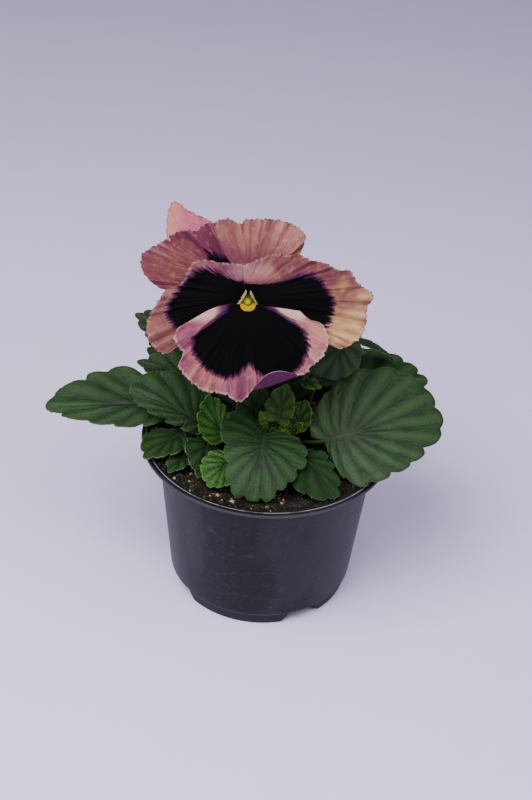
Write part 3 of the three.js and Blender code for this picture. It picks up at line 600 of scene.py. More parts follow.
def soil_bed():
    shares = np.linspace(0.004, 1, SOIL_RINGS)
    turns = 2 * math.pi * np.arange(SOIL_SPOKES) / SOIL_SPOKES
    rows = [*((SOIL_TOP_RADIUS * s, None) for s in shares), *SOIL_SIDE]
    points = []
    for radius, height in rows:
        x, y = radius * np.cos(turns), radius * np.sin(turns)
        z = soil_height(x, y) if height is None else np.full(SOIL_SPOKES, height)
        points.append(np.stack([x, y, z], axis=-1))
    points = np.vstack(points)
    index = np.arange(len(points)).reshape(len(rows), SOIL_SPOKES)
    faces = round_faces(index, len(points), len(points) + 1)
    shell = Shell()
    shell.add(np.vstack([points, points[:SOIL_SPOKES].mean(axis=0), [0, 0, SOIL_FLOOR]]), faces)
    return shell.make("soil_bed")


soil = soil_bed()
print("soil bed", len(soil.data.vertices), "points")

# %% [markdown]
# Moist peat is nearly black in its hollows and brown on its crumbs, with a few pale specks. Its roughness
# is high everywhere, so that only the colour and the relief speak. The crumbs and fibres share the finish,
# and each of them carries its own tone, from the peat's brown to the straw of a dry fibre.


# %% Soil finish
def soil_finish(name, toned):
    f = Finish(name, {"Specular IOR Level": 0.25})
    place = f.place()
    lumps = f.noise(place, 420, 6, 0.7)
    specks = f.step(f.noise(place, 1500, 2, 0.5), 0.66, 0.74)
    base = f.mix(f.step(lumps, 0.34, 0.76), paint(10, 8, 7), paint(44, 36, 29))
    base = f.mix(specks * 0.5, base, paint(126, 110, 84))
    if toned:
        base = f.mix(f.number("tone"), base, paint(150, 132, 100))
    f.surface({
        "Base Color": base,
        "Roughness": 0.82 + 0.15 * lumps,
        "Normal": f.bump(lumps + 0.3 * f.noise(place, 2400, 3, 0.6), 0.8, 0.5),
    })
    return f


keep(soil, soil_finish("moist_peat", False), "soil", "soil")

# %% Crumbs and fibres
CRUMBS = 1900
LIP_CRUMBS = 1300
LIP_REACH = (45, 49.6)
LIP_HEIGHTS = [(45, 70.0), (46, 70.1), (46.9, 70.75), (48, 71.2), (49.6, 71.42)]
FIBRES = 200
FIBRE_REACH = 45.2


def crumb_ball():
    fresh()
    bpy.ops.mesh.primitive_ico_sphere_add(subdivisions=1, radius=1)
    ball = bpy.context.object
    points = np.array([v.co[:] for v in ball.data.vertices])
    faces = np.array([[*f.vertices, f.vertices[-1]] for f in ball.data.polygons])
    bpy.data.objects.remove(ball)
    return points, faces


def strewn_crumbs():
    random = np.random.default_rng(5)
    ball, ball_faces = crumb_ball()
    shell = Shell()
    for number in range(CRUMBS + LIP_CRUMBS):
        on_lip = number >= CRUMBS
        radius = random.uniform(*LIP_REACH) if on_lip else 45.6 * random.random() ** 0.4
        turn = 2 * math.pi * random.random()
        x, y = radius * math.cos(turn), radius * math.sin(turn)
        size = 0.25 + 0.75 * random.random() ** 3
        bent = ball * (size * random.uniform(0.6, 1.3, 3)) * random.uniform(0.8, 1.2, (len(ball), 1))
        turned, tipped = (Matrix.Rotation(random.uniform(0, 6.3), 3, axis) for axis in "ZX")
        spin = np.array(turned @ tipped)
        lip = np.interp(radius, *zip(*LIP_HEIGHTS)) + 0.35 * size
        z = lip if on_lip else soil_at(x, y) + 0.15 * size
        pale = random.random() ** 6 if random.random() < 0.35 else 0.0
        shell.add(bent @ spin.T + [x, y, z], ball_faces, tone=np.full(len(ball), pale))
    return shell.make("soil_crumbs")


def strewn_fibres():
    random = np.random.default_rng(6)
    shell = Shell()
    for _ in range(FIBRES):
        radius = 44.0 * random.random() ** 0.35
        turn = 2 * math.pi * random.random()
        x, y = radius * math.cos(turn), radius * math.sin(turn)
        heading = 2 * math.pi * random.random()
        length = random.uniform(2.0, 6.5)
        bend = random.uniform(-0.9, 0.9)
        path = []
        for share in np.linspace(-0.5, 0.5, 5):
            a = heading + bend * share
            px, py = x + length * share * math.cos(a), y + length * share * math.sin(a)
            inward = min(1.0, FIBRE_REACH / max(math.hypot(px, py), 1e-6))
            px, py = px * inward, py * inward
            path.append([px, py, soil_at(px, py) + 0.25 + 0.5 * abs(share) * random.random()])
        points, faces = tube(path, random.uniform(0.09, 0.2), 4)
        shell.add(points, faces, tone=np.full(len(points), random.uniform(0.1, 0.7)))
    return shell.make("soil_fibres")


crumb_finish = soil_finish("peat_crumbs", True)
keep(strewn_crumbs(), crumb_finish, "soil")
keep(strewn_fibres(), crumb_finish, "soil")

# %% [markdown]
# ## The leaves
# A pansy leaf is a crenate blade: round teeth along its margin, a midrib, and side veins that sink into the
# blade between low pleats. Each half is laid out as a fan of rows. A row starts on the midrib and ends on
# the margin, where a notch marks every vein's end. The marks kept on each point are the row's tooth number,
# the share of the way to the margin, the width of a tooth there, the gap to the margin, the distance from
# the midrib, and whether the point is on the underside or on the leaf stalk.

# %% Leaf outlines
OUTLINES = {
    "ovate": [(0, 0.07), (0.08, 0.42), (0.26, 0.88), (0.45, 1), (0.65, 0.86), (0.82, 0.56), (0.94, 0.27)],
    "round": [(-0.05, 0.35), (0.0, 0.75), (0.2, 0.98), (0.48, 1), (0.74, 0.78), (0.92, 0.4)],
    "full": [(-0.05, 0.35), (0.0, 0.75), (0.2, 0.98), (0.5, 1.02), (0.8, 0.9), (0.98, 0.5)],
}
FAR_LEFT_BACK = [(0, 1), (6, 6), (14, 12.5), (25, 18.5), (40, 16), (50, 11), (56.5, 6)]
FAR_LEFT_FRONT = [(0, 1), (8, 8), (20, 12), (32, 11.2), (43, 8.6), (52, 5.2), (57, 2.8)]
LEFT_BACK = [(0, 1), (2, 8), (7, 13.5), (14, 16), (23, 14.6), (31, 10.5), (36, 5)]
LEFT_FRONT = [(0, 1), (3, 5.5), (12, 6.8), (22, 6.8), (30, 5.2), (35, 2.8)]
FRONT_LEFT = [(-5.5, 3), (-10.5, 9), (-10, 15), (-3.5, 18.4), (6, 16.8), (14, 14), (22, 12), (28, 7.5)]
FRONT_RIGHT = [(-2.6, 4), (-2, 11), (2.5, 17), (10, 18.2), (17, 15.2), (23, 10.5), (28.2, 5.5)]
LOW_RIGHT_BACK = [(0, 1), (4, 6.5), (9, 8), (15, 6.6), (21, 4.8), (25, 2.2)]
LOW_RIGHT_FRONT = [(0, 1), (1.5, 5), (6, 11), (13, 12.4), (20, 9.8), (25, 5)]
BIG_BACK = [(-4.6, 3), (-4, 10), (1, 15.8), (8, 22.5), (18, 26), (30, 25.2), (39.5, 20.5), (46, 12.5)]
BIG_FRONT = [(0, 0.8), (1.5, 9), (4.5, 17), (10, 21.6), (20, 21), (30, 18.2), (40, 12.8), (46.5, 7.5)]

# %% One row a leaf
# name, blade's start, blade's tip, which way it faces, left and right outline, half widths for a named
# outline, teeth a side, arch, rise of the sides, depth of the pleats, where the leaf stalk leaves the soil,
# and the finish
LEAVES = [
    ("leaf_far_left", (-34, 4, 82.5), (-92, 0, 79.5), (0.05, -0.35, 0.94), FAR_LEFT_FRONT, FAR_LEFT_BACK,
     None, 5, 1.2, 0.5, 0.7, (-13, 3), "pale"),
    ("leaf_left", (-24, -8, 80), (-57, -1, 92), (-0.15, -0.5, 0.85), LEFT_FRONT, LEFT_BACK, None,
     5, 2.5, -1.5, 0.7, (-12, -3), "mid"),
    ("leaf_left_back", (-29, 14, 88), (-56, 16, 94), (0.1, -0.45, 0.88), "ovate", "ovate", (8, 9),
     4, 1, 1, 0.5, (-10, 8), "mid"),
    ("leaf_left_high", (-40, 27, 101), (-58.5, 31, 108), (0.1, -0.6, 0.8), "ovate", "ovate", (8, 7),
     4, 1, 0.5, 0.4, (-8, 12), "deep"),
    ("leaf_rim_left", (-34.5, -8.5, 77.4), (-48.8, -25.2, 75), (-0.35, -0.3, 0.88), "ovate", "ovate", (9, 12),
     4, 1, -1, 0.6, (-16, -1), "mid"),
    ("leaf_rim_left_small", (-31.5, -17.5, 73.6), (-38.5, -31.2, 73.4), (-0.2, -0.4, 0.9), "ovate", "ovate",
     (5, 5), 3, 0.5, 0.5, 0.4, (-17, -7.5), "mid"),
    ("leaf_left_shaded", (-24, -11, 76.5), (-26.5, -32, 72.4), (0.35, -0.25, 0.88), "ovate", "ovate",
     (7.5, 9.5), 4, 1.5, 1, 0.5, (-12, -9), "deep"),
    ("leaf_curled_front", (-16.7, -15.2, 79.9), (-24.8, -5.7, 94.4), (0.35, -0.85, 0.5), "round", "round",
     (9, 6), 5, -2.5, 2.5, 0.4, (-8, -12), "bright"),
    ("leaf_bright_front", (-14, -25, 78), (-22, -38, 72.8), (-0.1, -0.5, 0.85), "round", "round", (8, 9),
     5, 0.5, 0, 0.5, (-5, -14.5), "bright"),
    ("leaf_front", (-1, -21, 88), (-4, -45, 73), (0, -0.55, 0.83), FRONT_RIGHT, FRONT_LEFT, None,
     7, 3, -2, 0.42, (-1, -11), "mid"),
    ("leaf_front_right", (13, -21, 80), (29, -40, 73.5), (0.1, -0.5, 0.85), LOW_RIGHT_BACK, LOW_RIGHT_FRONT,
     None, 4, 1.5, 0.5, 0.5, (6, -13), "shaded"),
    ("leaf_young_centre", (3.2, -14.5, 89.5), (6.5, -10.5, 105), (-0.25, -0.9, 0.4), "round", "round", (6, 6),
     3, -1.5, 2.5, 0.3, (2.5, -8), "young"),
    ("leaf_dark_centre", (-5, -6.5, 82.3), (-6.5, -3, 100.3), (-0.1, -0.9, 0.4), "round", "round", (7.5, 7),
     3, 1, 0.5, 0.4, (-4.5, -6.5), "mid"),
    ("leaf_behind_centre", (4, 1.5, 82), (9, 4, 104), (-0.1, -0.9, 0.4), "round", "round", (9, 11),
     5, 1, -1, 0.5, (4.5, -1), "deep"),
    ("leaf_young_right", (11, -12.5, 85.5), (15, -8, 96), (-0.4, -0.75, 0.5), "round", "round", (5.5, 5.5),
     3, -1, 2, 0.3, (7, -8), "young"),
    ("leaf_small_right", (12, -6.5, 104.5), (20.5, -9, 103.5), (0.1, -0.5, 0.85), "ovate", "ovate",
     (2.8, 2.8), 2, 1, 0, 0.2, (6.5, -3.5), "young"),
    ("leaf_big_right", (23, -18, 84), (70, -9, 92), (0.1, -0.6, 0.79), BIG_BACK, BIG_FRONT, None,
     7, 4, -2, 0.9, (12, -7), "pale"),
    ("leaf_right_back", (33, 16, 82), (66.5, 26, 87), (0.05, -0.3, 0.95), "round", "round", (21, 18),
     6, 2.5, -1.5, 0.7, (14, 2), "pale"),
    ("leaf_right_arched", (31, 23, 107), (52.5, 31, 92.5), (0.37, 0.31, 0.9), "ovate", "ovate", (7, 7),
     4, 3, -1, 0.5, (10, 8), "deep"),
    ("leaf_under_petal", (27, 2, 121), (25.5, -4, 104.5), (0.05, -0.9, 0.4), "round", "full", (9.5, 14.4),
     4, 1.5, -1, 0.6, (13.5, -2.5), "pale"),
    ("leaf_back_left", (-26, 22, 78), (-54, 50, 82), (-0.2, 0.3, 0.93), "ovate", "ovate", (15, 15),
     5, 4, -1, 0.7, (-9.5, 15), "mid"),
    ("leaf_back", (-4, 28, 86), (-10, 68, 88), (0, 0.25, 0.96), "round", "round", (19, 18),
     6, 4, -2, 0.8, (-2, 12), "mid"),
    ("leaf_back_right", (22, 28, 80), (46, 56, 81), (0.2, 0.3, 0.93), "ovate", "ovate", (14, 14),
     5, 3.5, -1, 0.7, (6, 13), "mid"),
    ("leaf_back_high", (8, 18, 101), (16, 44, 112), (0, -0.4, 0.9), "ovate", "ovate", (9, 9),
     4, 1.5, 1, 0.5, (3, 9), "mid"),
    ("leaf_back_low", (12, 31, 73), (15, 47, 74.5), (0, 0.3, 0.95), "round", "round", (7, 7),
     4, 1, 0, 0.4, (3, 17), "bright"),
    ("leaf_back_low_left", (-17, 33, 73), (-24, 47, 74.5), (0, 0.3, 0.95), "round", "round", (7, 7),
     4, 1, 0, 0.4, (-6, 19.3), "bright"),
]
print(len(LEAVES), "leaves")

# %% [markdown]
# A blade is a fan of rows. A row's foot is on the first part of the midrib, so the rows fan out towards the
# margin as the veins of a real leaf do, and a broad leaf's fan starts closer together than a narrow one's.
# Across the rows the blade is pleated, lowest along the veins. The margin is cut back between two teeth,
# and cut deeper where a row meets it at a slant, so that the notches look equal all round. The underside
# repeats the top a little lower, so each sunken vein is a raised rib underneath, and the leaf stalk runs on
# below the midrib. Short hairs stand on the margin.

# %% The blade of a leaf
ROWS_PER_TOOTH = 14
STEPS_OUT = 22
# a leaf's half width as a share of its length, and how far up its midrib the last row starts
VEIN_FEET = [(0.2, 0.62), (0.5, 0.34)]
VEIN_CURVE = -0.3
TIP_REACH = 1.015
TOOTH_DEPTH = 1.5
TOOTH_SHARE = 0.05
LEAST_SLANT = 0.42
MIDRIB_DEPTH = 0.35
MIDRIB_HALF = 0.7
QUILT_HEIGHT = 0.27
BLADE_THICK = 0.55
BLADE_THIN = 0.3
THIN_MARGIN = 0.8
HAIR_SPACING = 2.6
# where a leaf stalk that reaches its blade from behind ends, seen from the blade's start
FROM_BEHIND = {"leaf_under_petal": (0, 6, -3)}
STALK_RADIUS = 0.95
STALK_RINGS = 26
RIB_RINGS = 16
HOLE_FLOOR = 64


class Blade:
    """One leaf blade: its frame, its half outlines and its height at a point."""

    def __init__(self, base, tip, face, arch, rise, pleat, teeth, seed):
        self.base = np.array(base, float)
        self.length = float(np.linalg.norm(np.array(tip, float) - self.base))
        self.along = unit(np.array(tip, float) - self.base)
        up = unit(face)
        self.up = unit(up - self.along * (up @ self.along))
        self.across = np.cross(self.along, self.up)
        self.arch, self.rise, self.pleat, self.teeth, self.seed = arch, rise, pleat, teeth, seed
        self.widest = 1.0

    def half_outline(self, outline, wide):
        """The margin's points: a list in mm, or a named shape that is scaled to this leaf."""
        if isinstance(outline, str):
            outline = [(a * self.length, w * wide) for a, w in OUTLINES[outline]]
        return [*outline, (self.length * TIP_REACH, 0)]

    def height(self, a, w, s, lobe):
        t = a / self.length
        carried = self.arch * 4 * t * (1 - t) + self.rise * (w / self.widest) ** 2
        swell = 0.75 + 0.35 * ripple(a + 0.7 * w, (17, 11), self.seed + 2)
        pleats = 0.75 * self.pleat * swell * (lobe - 0.6) * s * (2 - s)
        midrib = -MIDRIB_DEPTH * np.exp(-((w / MIDRIB_HALF) ** 2)) * (t < 0.98)
        one_way = ripple(a * 0.8 + w, (2.3, 3.1), self.seed)
        other_way = ripple(w - 0.6 * a, (2.0, 2.9), self.seed + 1)
        quilting = QUILT_HEIGHT * s * one_way * other_way
        return carried + pleats + midrib + quilting

    def spot(self, a, w, height):
        a, w, height = (np.asarray(v, float)[..., None] for v in (a, w, height))
        return self.base + self.along * a + self.across * w + self.up * height

    def half(self, side, knots):
        """Points and marks of one half, as tables of rows by steps."""
        mirrored = [(a, -w) for a, w in knots[-3:-1][::-1]]
        whole = [*knots, *mirrored]
        dense = smooth_line(whole, 600, (len(knots) - 1) / (len(whole) - 1))
        rows = int(ROWS_PER_TOOTH * (self.teeth + 0.5))
        q = np.arange(rows + 1) / rows
        rim, rim_length = along_line(dense, q)
        foot = np.interp(self.widest / self.length, *zip(*VEIN_FEET)) * self.length * q
        uneven = q + 0.07 * q * (1 - q) * ripple(q, (0.31, 0.47), self.seed + 7 + side)
        lobe = np.abs(np.sin(math.pi * (self.teeth + 0.5) * uneven))
        depth = min(TOOTH_DEPTH, TOOTH_SHARE * self.length)
        depth = depth * (1.15 + 0.35 * ripple(q, (0.23, 0.37), self.seed + side))
        reach = np.hypot(rim[:, 0] - foot, rim[:, 1])
        margin = np.gradient(rim, axis=0)
        crossing = np.abs((rim[:, 0] - foot) * margin[:, 1] - rim[:, 1] * margin[:, 0])
        slant = crossing / (reach * np.hypot(*margin.T))
        notch = (1 - lobe) ** 1.6 * depth * np.minimum(1, 4 * q) / np.maximum(slant, LEAST_SLANT)
        share = np.arange(STEPS_OUT + 1) / STEPS_OUT
        pulled = share[None, :] * (1 - (share[None, :] ** 6) * (notch / reach)[:, None])
        curve = VEIN_CURVE * (reach * (1 - q**2))[:, None] * pulled * (1 - pulled)
        a = foot[:, None] + (rim[:, 0] - foot)[:, None] * pulled + curve
        w = side * rim[:, 1][:, None] * pulled
        s = np.broadcast_to(share, a.shape)
        tooth = np.broadcast_to(((self.teeth + 0.5) * uneven)[:, None], a.shape)
        pitch = s * rim_length / (self.teeth + 0.5)
        gap = reach[:, None] * (1 - s)
        lobes = np.where(share == 0, 1.0, (0.3 * lobe + 0.7 * lobe**2)[:, None])
        return a, w, self.height(a, w, s, lobes), np.stack([tooth, s, pitch], axis=-1), gap


def leaf_piece(row, seed):
    name, base, tip, face, left, right, wide, teeth, arch, rise, pleat, root, _ = row
    blade = Blade(base, tip, face, arch, rise, pleat, teeth, seed)
    outlines = [blade.half_outline(o, wide[k] if wide else 0) for k, o in enumerate((left, right))]
    blade.widest = max(w for knots in outlines for _, w in knots)
    halves = [blade.half(side, knots) for side, knots in zip((-1, 1), outlines)]
    rows = halves[0][0].shape[0]
    count = rows * (STEPS_OUT + 1)
    left_index = np.arange(count).reshape(rows, STEPS_OUT + 1)
    right_index = left_index + count
    right_index[:, 0] = left_index[:, 0]
    right_index[-1] = left_index[-1]
    flat = [np.concatenate([np.asarray(h[k]).reshape(count, -1) for h in halves]) for k in range(5)]
    a, w, height, place, gap = (v[:, 0] if v.shape[1] == 1 else v for v in flat)
    top = blade.spot(a, w, height)
    faces = np.vstack([grid_faces(left_index), grid_faces(right_index)[:, ::-1]])
    right_side = [right_index[:-1, -1][::-1], right_index[0, 1:-1][::-1]]
    ring = np.concatenate([left_index[0], left_index[1:, -1], *right_side])
    used = np.unique(np.concatenate([faces.ravel(), ring]))
    fewer = np.full(len(top), -1)
    fewer[used] = np.arange(len(used))
    top, faces, ring = top[used], fewer[faces], fewer[ring]
    thick = np.where(gap[used] < THIN_MARGIN, BLADE_THIN, BLADE_THICK)
    points, faces = thin_body(top, faces, ring, -blade.up * thick[:, None])
    under = np.repeat([0.0, 1.0], len(used))
    spot = np.stack([doubled(a[used]), doubled(w[used]), under], axis=-1)
    shell = Shell()
    shell.add(points, faces, leaf_place=doubled(place[used]), rim_gap=doubled(gap[used]), leaf_spot=spot,
              stalk=np.zeros(len(points)))
    path, radii = leaf_stalk(blade, root, FROM_BEHIND.get(name))
    points, faces = tube(path, radii, 12)
    shell.add(points, faces, rim_gap=np.full(len(points), 9.0), stalk=np.ones(len(points)),
              leaf_spot=np.stack([points[:, 2], points[:, 0] * 0 + 9, points[:, 0] * 0], axis=-1))
    for points, faces in margin_hairs(blade, halves, seed):
        shell.add(points, faces, rim_gap=np.full(len(points), -1.0))
    return shell.make(name + "_grown")


def margin_hairs(blade, halves, seed):
    """Short stiff hairs that stand out from the margin, a few on every tooth."""
    random = np.random.default_rng(seed)
    for a, w, height, _, _ in halves:
        row_width = 1.2 * blade.length / a.shape[0]
        for row in range(5, a.shape[0] - 3, max(3, round(HAIR_SPACING / row_width))):
            root = blade.spot(a[row, -1], w[row, -1], height[row, -1] - 0.2)
            inner = blade.spot(a[row, -5], w[row, -5], height[row, -5] - 0.2)
            away = unit(root - inner) + 0.4 * random.normal(size=3)
            yield tube([root - 0.2 * away, root + random.uniform(0.2, 0.6) * away], [0.06, 0.02], 3)


def leaf_stalk(blade, root, behind):
    """The leaf stalk from the soil to the blade, then on under the midrib."""
    low = blade.base + np.array(behind) if behind else blade.base - 7 * blade.along + np.array([0, 0, -1.5])
    join = blade.base + 2.5 * blade.along + blade.up * (blade.arch * 10 / blade.length - 1.3)
    start = np.array([*root, HOLE_FLOOR + 0.5])
    bend = np.array([*root, (HOLE_FLOOR + low[2]) / 2 + 6])
    t = np.linspace(0, 1, STALK_RINGS)[:, None]
    path = start * (1 - t) ** 3 + bend * 3 * t * (1 - t) ** 2 + low * 3 * t**2 * (1 - t) + join * t**3
    on = np.linspace(3.5, 0.8 * blade.length, RIB_RINGS)
    under = blade.spot(on, on * 0, blade.arch * 4 * (on / blade.length) * (1 - on / blade.length) - 1.25)
    radii = np.concatenate([np.linspace(STALK_RADIUS, 0.8, STALK_RINGS), np.linspace(0.7, 0.22, RIB_RINGS)])
    return np.vstack([path, under]), radii


# %% [markdown]
# Leaf green is never one green. Each finish blends two greens by soft noise and adds the fine net of the
# smallest veins from Voronoi cells. Painted shade darkens every sunken vein, its forks and the pleats beside
# it, and the blade towards its base; a painted highlight lightens the ridges between the veins. The margin
# has a thin pale line, the underside and the stalk are paler, and a waxy skin gives the greyish sheen that a
# leaf shows from above.


# %% Leaf finish
def leaf_finish(name, colours, roughness):
    dark, light, ridge, margin = (paint(*colour) for colour in colours)
    f = Finish(name, {"IOR": 1.45, "Specular IOR Level": 0.22})
    tooth, share, pitch = f.triple("leaf_place")
    _, offside, under = f.triple("leaf_spot")
    spot = f.mark("leaf_spot")
    place = f.place()
    gap = f.number("rim_gap")
    stalk = f.number("stalk")
    from_vein = abs((tooth + 0.5).fraction() - 0.5) * pitch
    on_blade = 1 - stalk
    # the sunken veins and their forks, darkened below as painted shade
    vein = (1 - f.step(from_vein, 0.05, 0.32)) * f.step(share, 0.02, 0.2)
    vein = vein * (1 - f.step(share, 0.75, 1.0)) * on_blade
    midrib = (1 - f.step(abs(offside), 0.12, 0.6)) * on_blade
    fork_gap = abs(from_vein - (share - 0.4) * 0.5 * pitch)
    fork = (1 - f.step(fork_gap, 0.05, 0.28)) * f.step(share, 0.42, 0.5)
    fork = fork * (1 - f.step(share, 0.85, 1.0)) * on_blade
    # the ridges between the veins, lightened below as a painted highlight
    crest_highlight = f.step(from_vein / (pitch + 0.01), 0.12, 0.5) * on_blade
    net = f.step(f.cells(f.stretched(spot, (1.0, 1.0, 0.0)), 0.75), 0.0, 0.16)
    patches = f.noise(place, 120, 3, 0.6)
    mottle = f.noise(place, 900, 3, 0.6)
    root_shade = (1 - f.step(share, 0.0, 0.55)) * on_blade
    base = f.mix(f.step(patches - 0.18 * root_shade, 0.22, 0.62), dark, light)
    base = f.mix(crest_highlight * (0.16 + 0.36 * mottle) * f.step(share, 0.0, 0.6), base, ridge)
    base = f.mix((1 - net) * 0.16 * on_blade, base, ridge)
    # the pleats beside each vein, darkened as painted shade
    fold = (1 - f.step(from_vein, 0.25, 1.5)) * f.step(share, 0.05, 0.25)
    fold = fold * (1 - f.step(share, 0.75, 1.0)) * on_blade
    base = f.mix(fold * 0.2, base, dark)
    # darken the veins and forks: painted shade
    base = f.mix(vein.most(fork * 0.8) * (0.4 + 0.4 * patches), base, paint(11, 22, 9))
    base = f.mix(midrib * (1 - f.step(share, 0.0, 0.2)) * 0.1, base, paint(74, 98, 58))
    base = f.mix((1 - f.step(gap, 0.12, 0.4)) * 0.6, base, margin)
    base = f.mix(f.step(0 - gap, 0.4, 0.9) * 0.85, base, paint(176, 190, 150))
    base = f.mix(under * 0.6, base, paint(104, 126, 92))
    base = f.mix(stalk, base, f.mix(mottle, paint(15, 29, 8), paint(32, 50, 19)))
    f.surface({
        "Base Color": base,
        "Roughness": roughness + 0.1 * mottle + 0.12 * under,
        "Normal": f.bump(net * 0.6 + mottle * 0.5 - vein * 0.6, 0.55, 0.16),
    })
    return f


# dark green, light green, the painted highlight on the ridges between the veins, which also tints the fine
# net, the margin's pale line, and the skin's roughness
# the shaded tone is a darker copy that paints the shade on a leaf in shadow; the pale tone is a greyer green,
# partly a painted sheen
LEAF_TONES = {
    "deep": ((12, 28, 11), (21, 43, 17), (43, 70, 36), (74, 100, 58), 0.46),
    "mid": ((11, 29, 7), (21, 47, 14), (44, 73, 33), (76, 104, 58), 0.46),
    "pale": ((15, 34, 12), (28, 52, 22), (57, 82, 46), (80, 106, 66), 0.46),
    "bright": ((15, 45, 7), (34, 77, 15), (66, 106, 38), (94, 134, 60), 0.46),
    "shaded": ((4, 20, 1), (8, 36, 2), (24, 60, 8), (48, 80, 28), 0.66),
    "shoot": ((30, 60, 8), (66, 100, 18), (104, 132, 44), (106, 132, 58), 0.5),
    "young": ((14, 40, 4), (34, 68, 10), (62, 92, 28), (88, 118, 52), 0.46),
}
LEAF_FINISHES = {tone: leaf_finish("leaf_" + tone, row[:-1], row[-1]) for tone, row in LEAF_TONES.items()}
print(len(LEAF_FINISHES), "leaf finishes")
YOUNG_SLOT = ("bright", "young", "shaded")

# %% All the leaves
for number, row in enumerate(LEAVES):
    tone = row[-1]
    slot = "young_leaf" if tone in YOUNG_SLOT else "leaf"
    keep(leaf_piece(row, 100 + number), LEAF_FINISHES[tone], slot, row[0])

# %% [markdown]
# Low on the leaf stalks stand the stipules, narrow little leaflets rolled up along their length. They are
# too small for the fan of a leaf: each is one strip, wide in the middle and closed at its tip, with its
# sides raised. A row says on which leaf's stalk one stands, how far up, where its tip lies from there, and
# its half width.

# %% Stipules
STIPULES = [
    ("leaf_front", 0.6, (-2.6, 0.5, 8.0), 1.6), ("leaf_young_centre", 0.66, (4.8, -1.6, 3.6), 1.7),
    ("leaf_young_centre", 0.6, (-0.6, -3.6, 4.6), 1.7), ("leaf_young_right", 0.85, (2.6, -2.5, 5.5), 1.8),
    ("leaf_young_right", 0.75, (-1.6, -3.0, 5.5), 1.6),
]
STIPULE_FACE = (0, -0.8, 0.6)
STIPULE_THICK = 0.35


def stipule(foot, reach, half_width, seed):
    length = float(np.linalg.norm(reach))
    along = np.array(reach) / length
    up = unit(np.array(STIPULE_FACE) - along * (along @ STIPULE_FACE))
    across = np.cross(along, up)
    t = np.linspace(0, 1, 25)[:, None]
    s = np.linspace(-1, 1, 11)[None, :]
    half = half_width * (0.06 + np.sin(math.pi * (0.1 + 0.9 * t)) ** 0.6)
    half = half * (1 + 0.06 * np.sin(9 * math.pi * t + seed))
    w = half * s
    rolled = 0.55 * half * np.abs(s) ** 2 - 0.16 * length * t**2 + 0.25 * np.sin(5 * t + seed) * s
    a = length * t + 0 * s
    top = foot + a[..., None] * along + w[..., None] * across + rolled[..., None] * up
    points, faces = sheet_body(top, -up * STIPULE_THICK)
    place = np.stack([4 * t + 0 * s, np.abs(s) + 0 * t, np.full(w.shape, 1.6)], axis=-1).reshape(-1, 3)
    spot = np.stack([a, w, 0 * w], axis=-1).reshape(-1, 3)
    gap = (0.3 + half * (1 - np.abs(s))).ravel()
    marks = dict(leaf_place=doubled(place), leaf_spot=doubled(spot), rim_gap=doubled(gap))
    return points, faces, dict(marks, stalk=np.zeros(len(points)))


def all_stipules():
    hosts = {row[0]: row for row in LEAVES}
    shell = Shell()
    for number, (name, up_stalk, reach, half_width) in enumerate(STIPULES):
        _, base, tip, face, _, _, _, teeth, arch, rise, pleat, root, _ = hosts[name]
        path, _ = leaf_stalk(Blade(base, tip, face, arch, rise, pleat, teeth, 0), root, FROM_BEHIND.get(name))
        foot = path[round((STALK_RINGS - 1) * up_stalk)]
        points, faces, marks = stipule(foot, reach, half_width, number)
        shell.add(points, faces, **marks)
    return shell.make("stipules")


keep(all_stipules(), LEAF_FINISHES["shoot"], "young_leaf")

# %% [markdown]
# ## The bloom
# The bloom has its own flat frame: x to the right and y up its face as the camera sees them, and out
# towards the viewer. A petal is a fan again, from a short claw in the throat to a ruffled margin. Its marks
# are the arc along the margin, the share of the way out, the place on the face, the depth of its creases,
# the gap to the margin, the gap to the outline of its dark blotch, and whether a point is on the underside.

# %% The bloom's frame
THROAT = np.array([-10.9, -15, 145.9])
FACE_UP = math.radians(35.1)
FACE_ROLL = math.radians(3.43)
LOOK_UP = math.radians(31.1)
VIEW_DISTANCE = 530
tilted = np.array([0, math.sin(FACE_UP), math.cos(FACE_UP)])
level = np.array([1.0, 0, 0])
face_x = level * math.cos(FACE_ROLL) + tilted * math.sin(FACE_ROLL)
face_y = tilted * math.cos(FACE_ROLL) - level * math.sin(FACE_ROLL)
face_out = np.array([0.018, -math.cos(LOOK_UP), math.sin(LOOK_UP)])


def on_face(x, y, out):
    x, y, out = (np.asarray(v, float)[..., None] for v in (x, y, out))
    shrink = 1 - out / VIEW_DISTANCE
    return THROAT + (face_x * x + face_y * y) * shrink + face_out * out


# %% Petal outlines and blotches
# each blotch is a closed outline on the bloom's face, in mm from the throat
LOWER_BLOTCH = [
    (-4.1, -1.2), (-6.6, -3.9), (-11.6, -7), (-16.7, -11.1), (-19.8, -14.2), (-20.7, -17.1), (-19.8, -21.1),
    (-16.7, -24.9), (-12.3, -28.1), (-7.9, -29.6), (-3.5, -28.1), (0.9, -24), (5.3, -28.4), (9.7, -29.4),
    (16.6, -28.1), (21, -24.3), (23.2, -18.6), (22.3, -13.6), (19.1, -9.5), (14.7, -6.7), (10.3, -3.9),
    (5.3, -2.3), (3, 0), (-2, 0)]
LEFT_BLOTCH = [
    (2, 7), (-1.5, 7.4), (-4.1, 7.8), (-7.2, 8.7), (-10.4, 10.9), (-14.8, 11.8), (-19.2, 10.9),
    (-22.9, 7.8), (-25.5, 4), (-28.6, 0.2), (-30.5, -4.2), (-29.2, -7.9), (-27.3, -10.5), (-23.6, -12.2),
    (-16, -14), (-5, -8), (2, -3), (3, 3)]
RIGHT_BLOTCH = [
    (-2, 6.6), (6, 6.2), (11, 6.9), (15.4, 7.9), (19.1, 9), (24.8, 9.6), (28.6, 7.1), (31.1, 2.7), (33, -1),
    (32.3, -4), (31.1, -8.6), (28, -11), (20, -13), (5, -8), (-3, -3)]
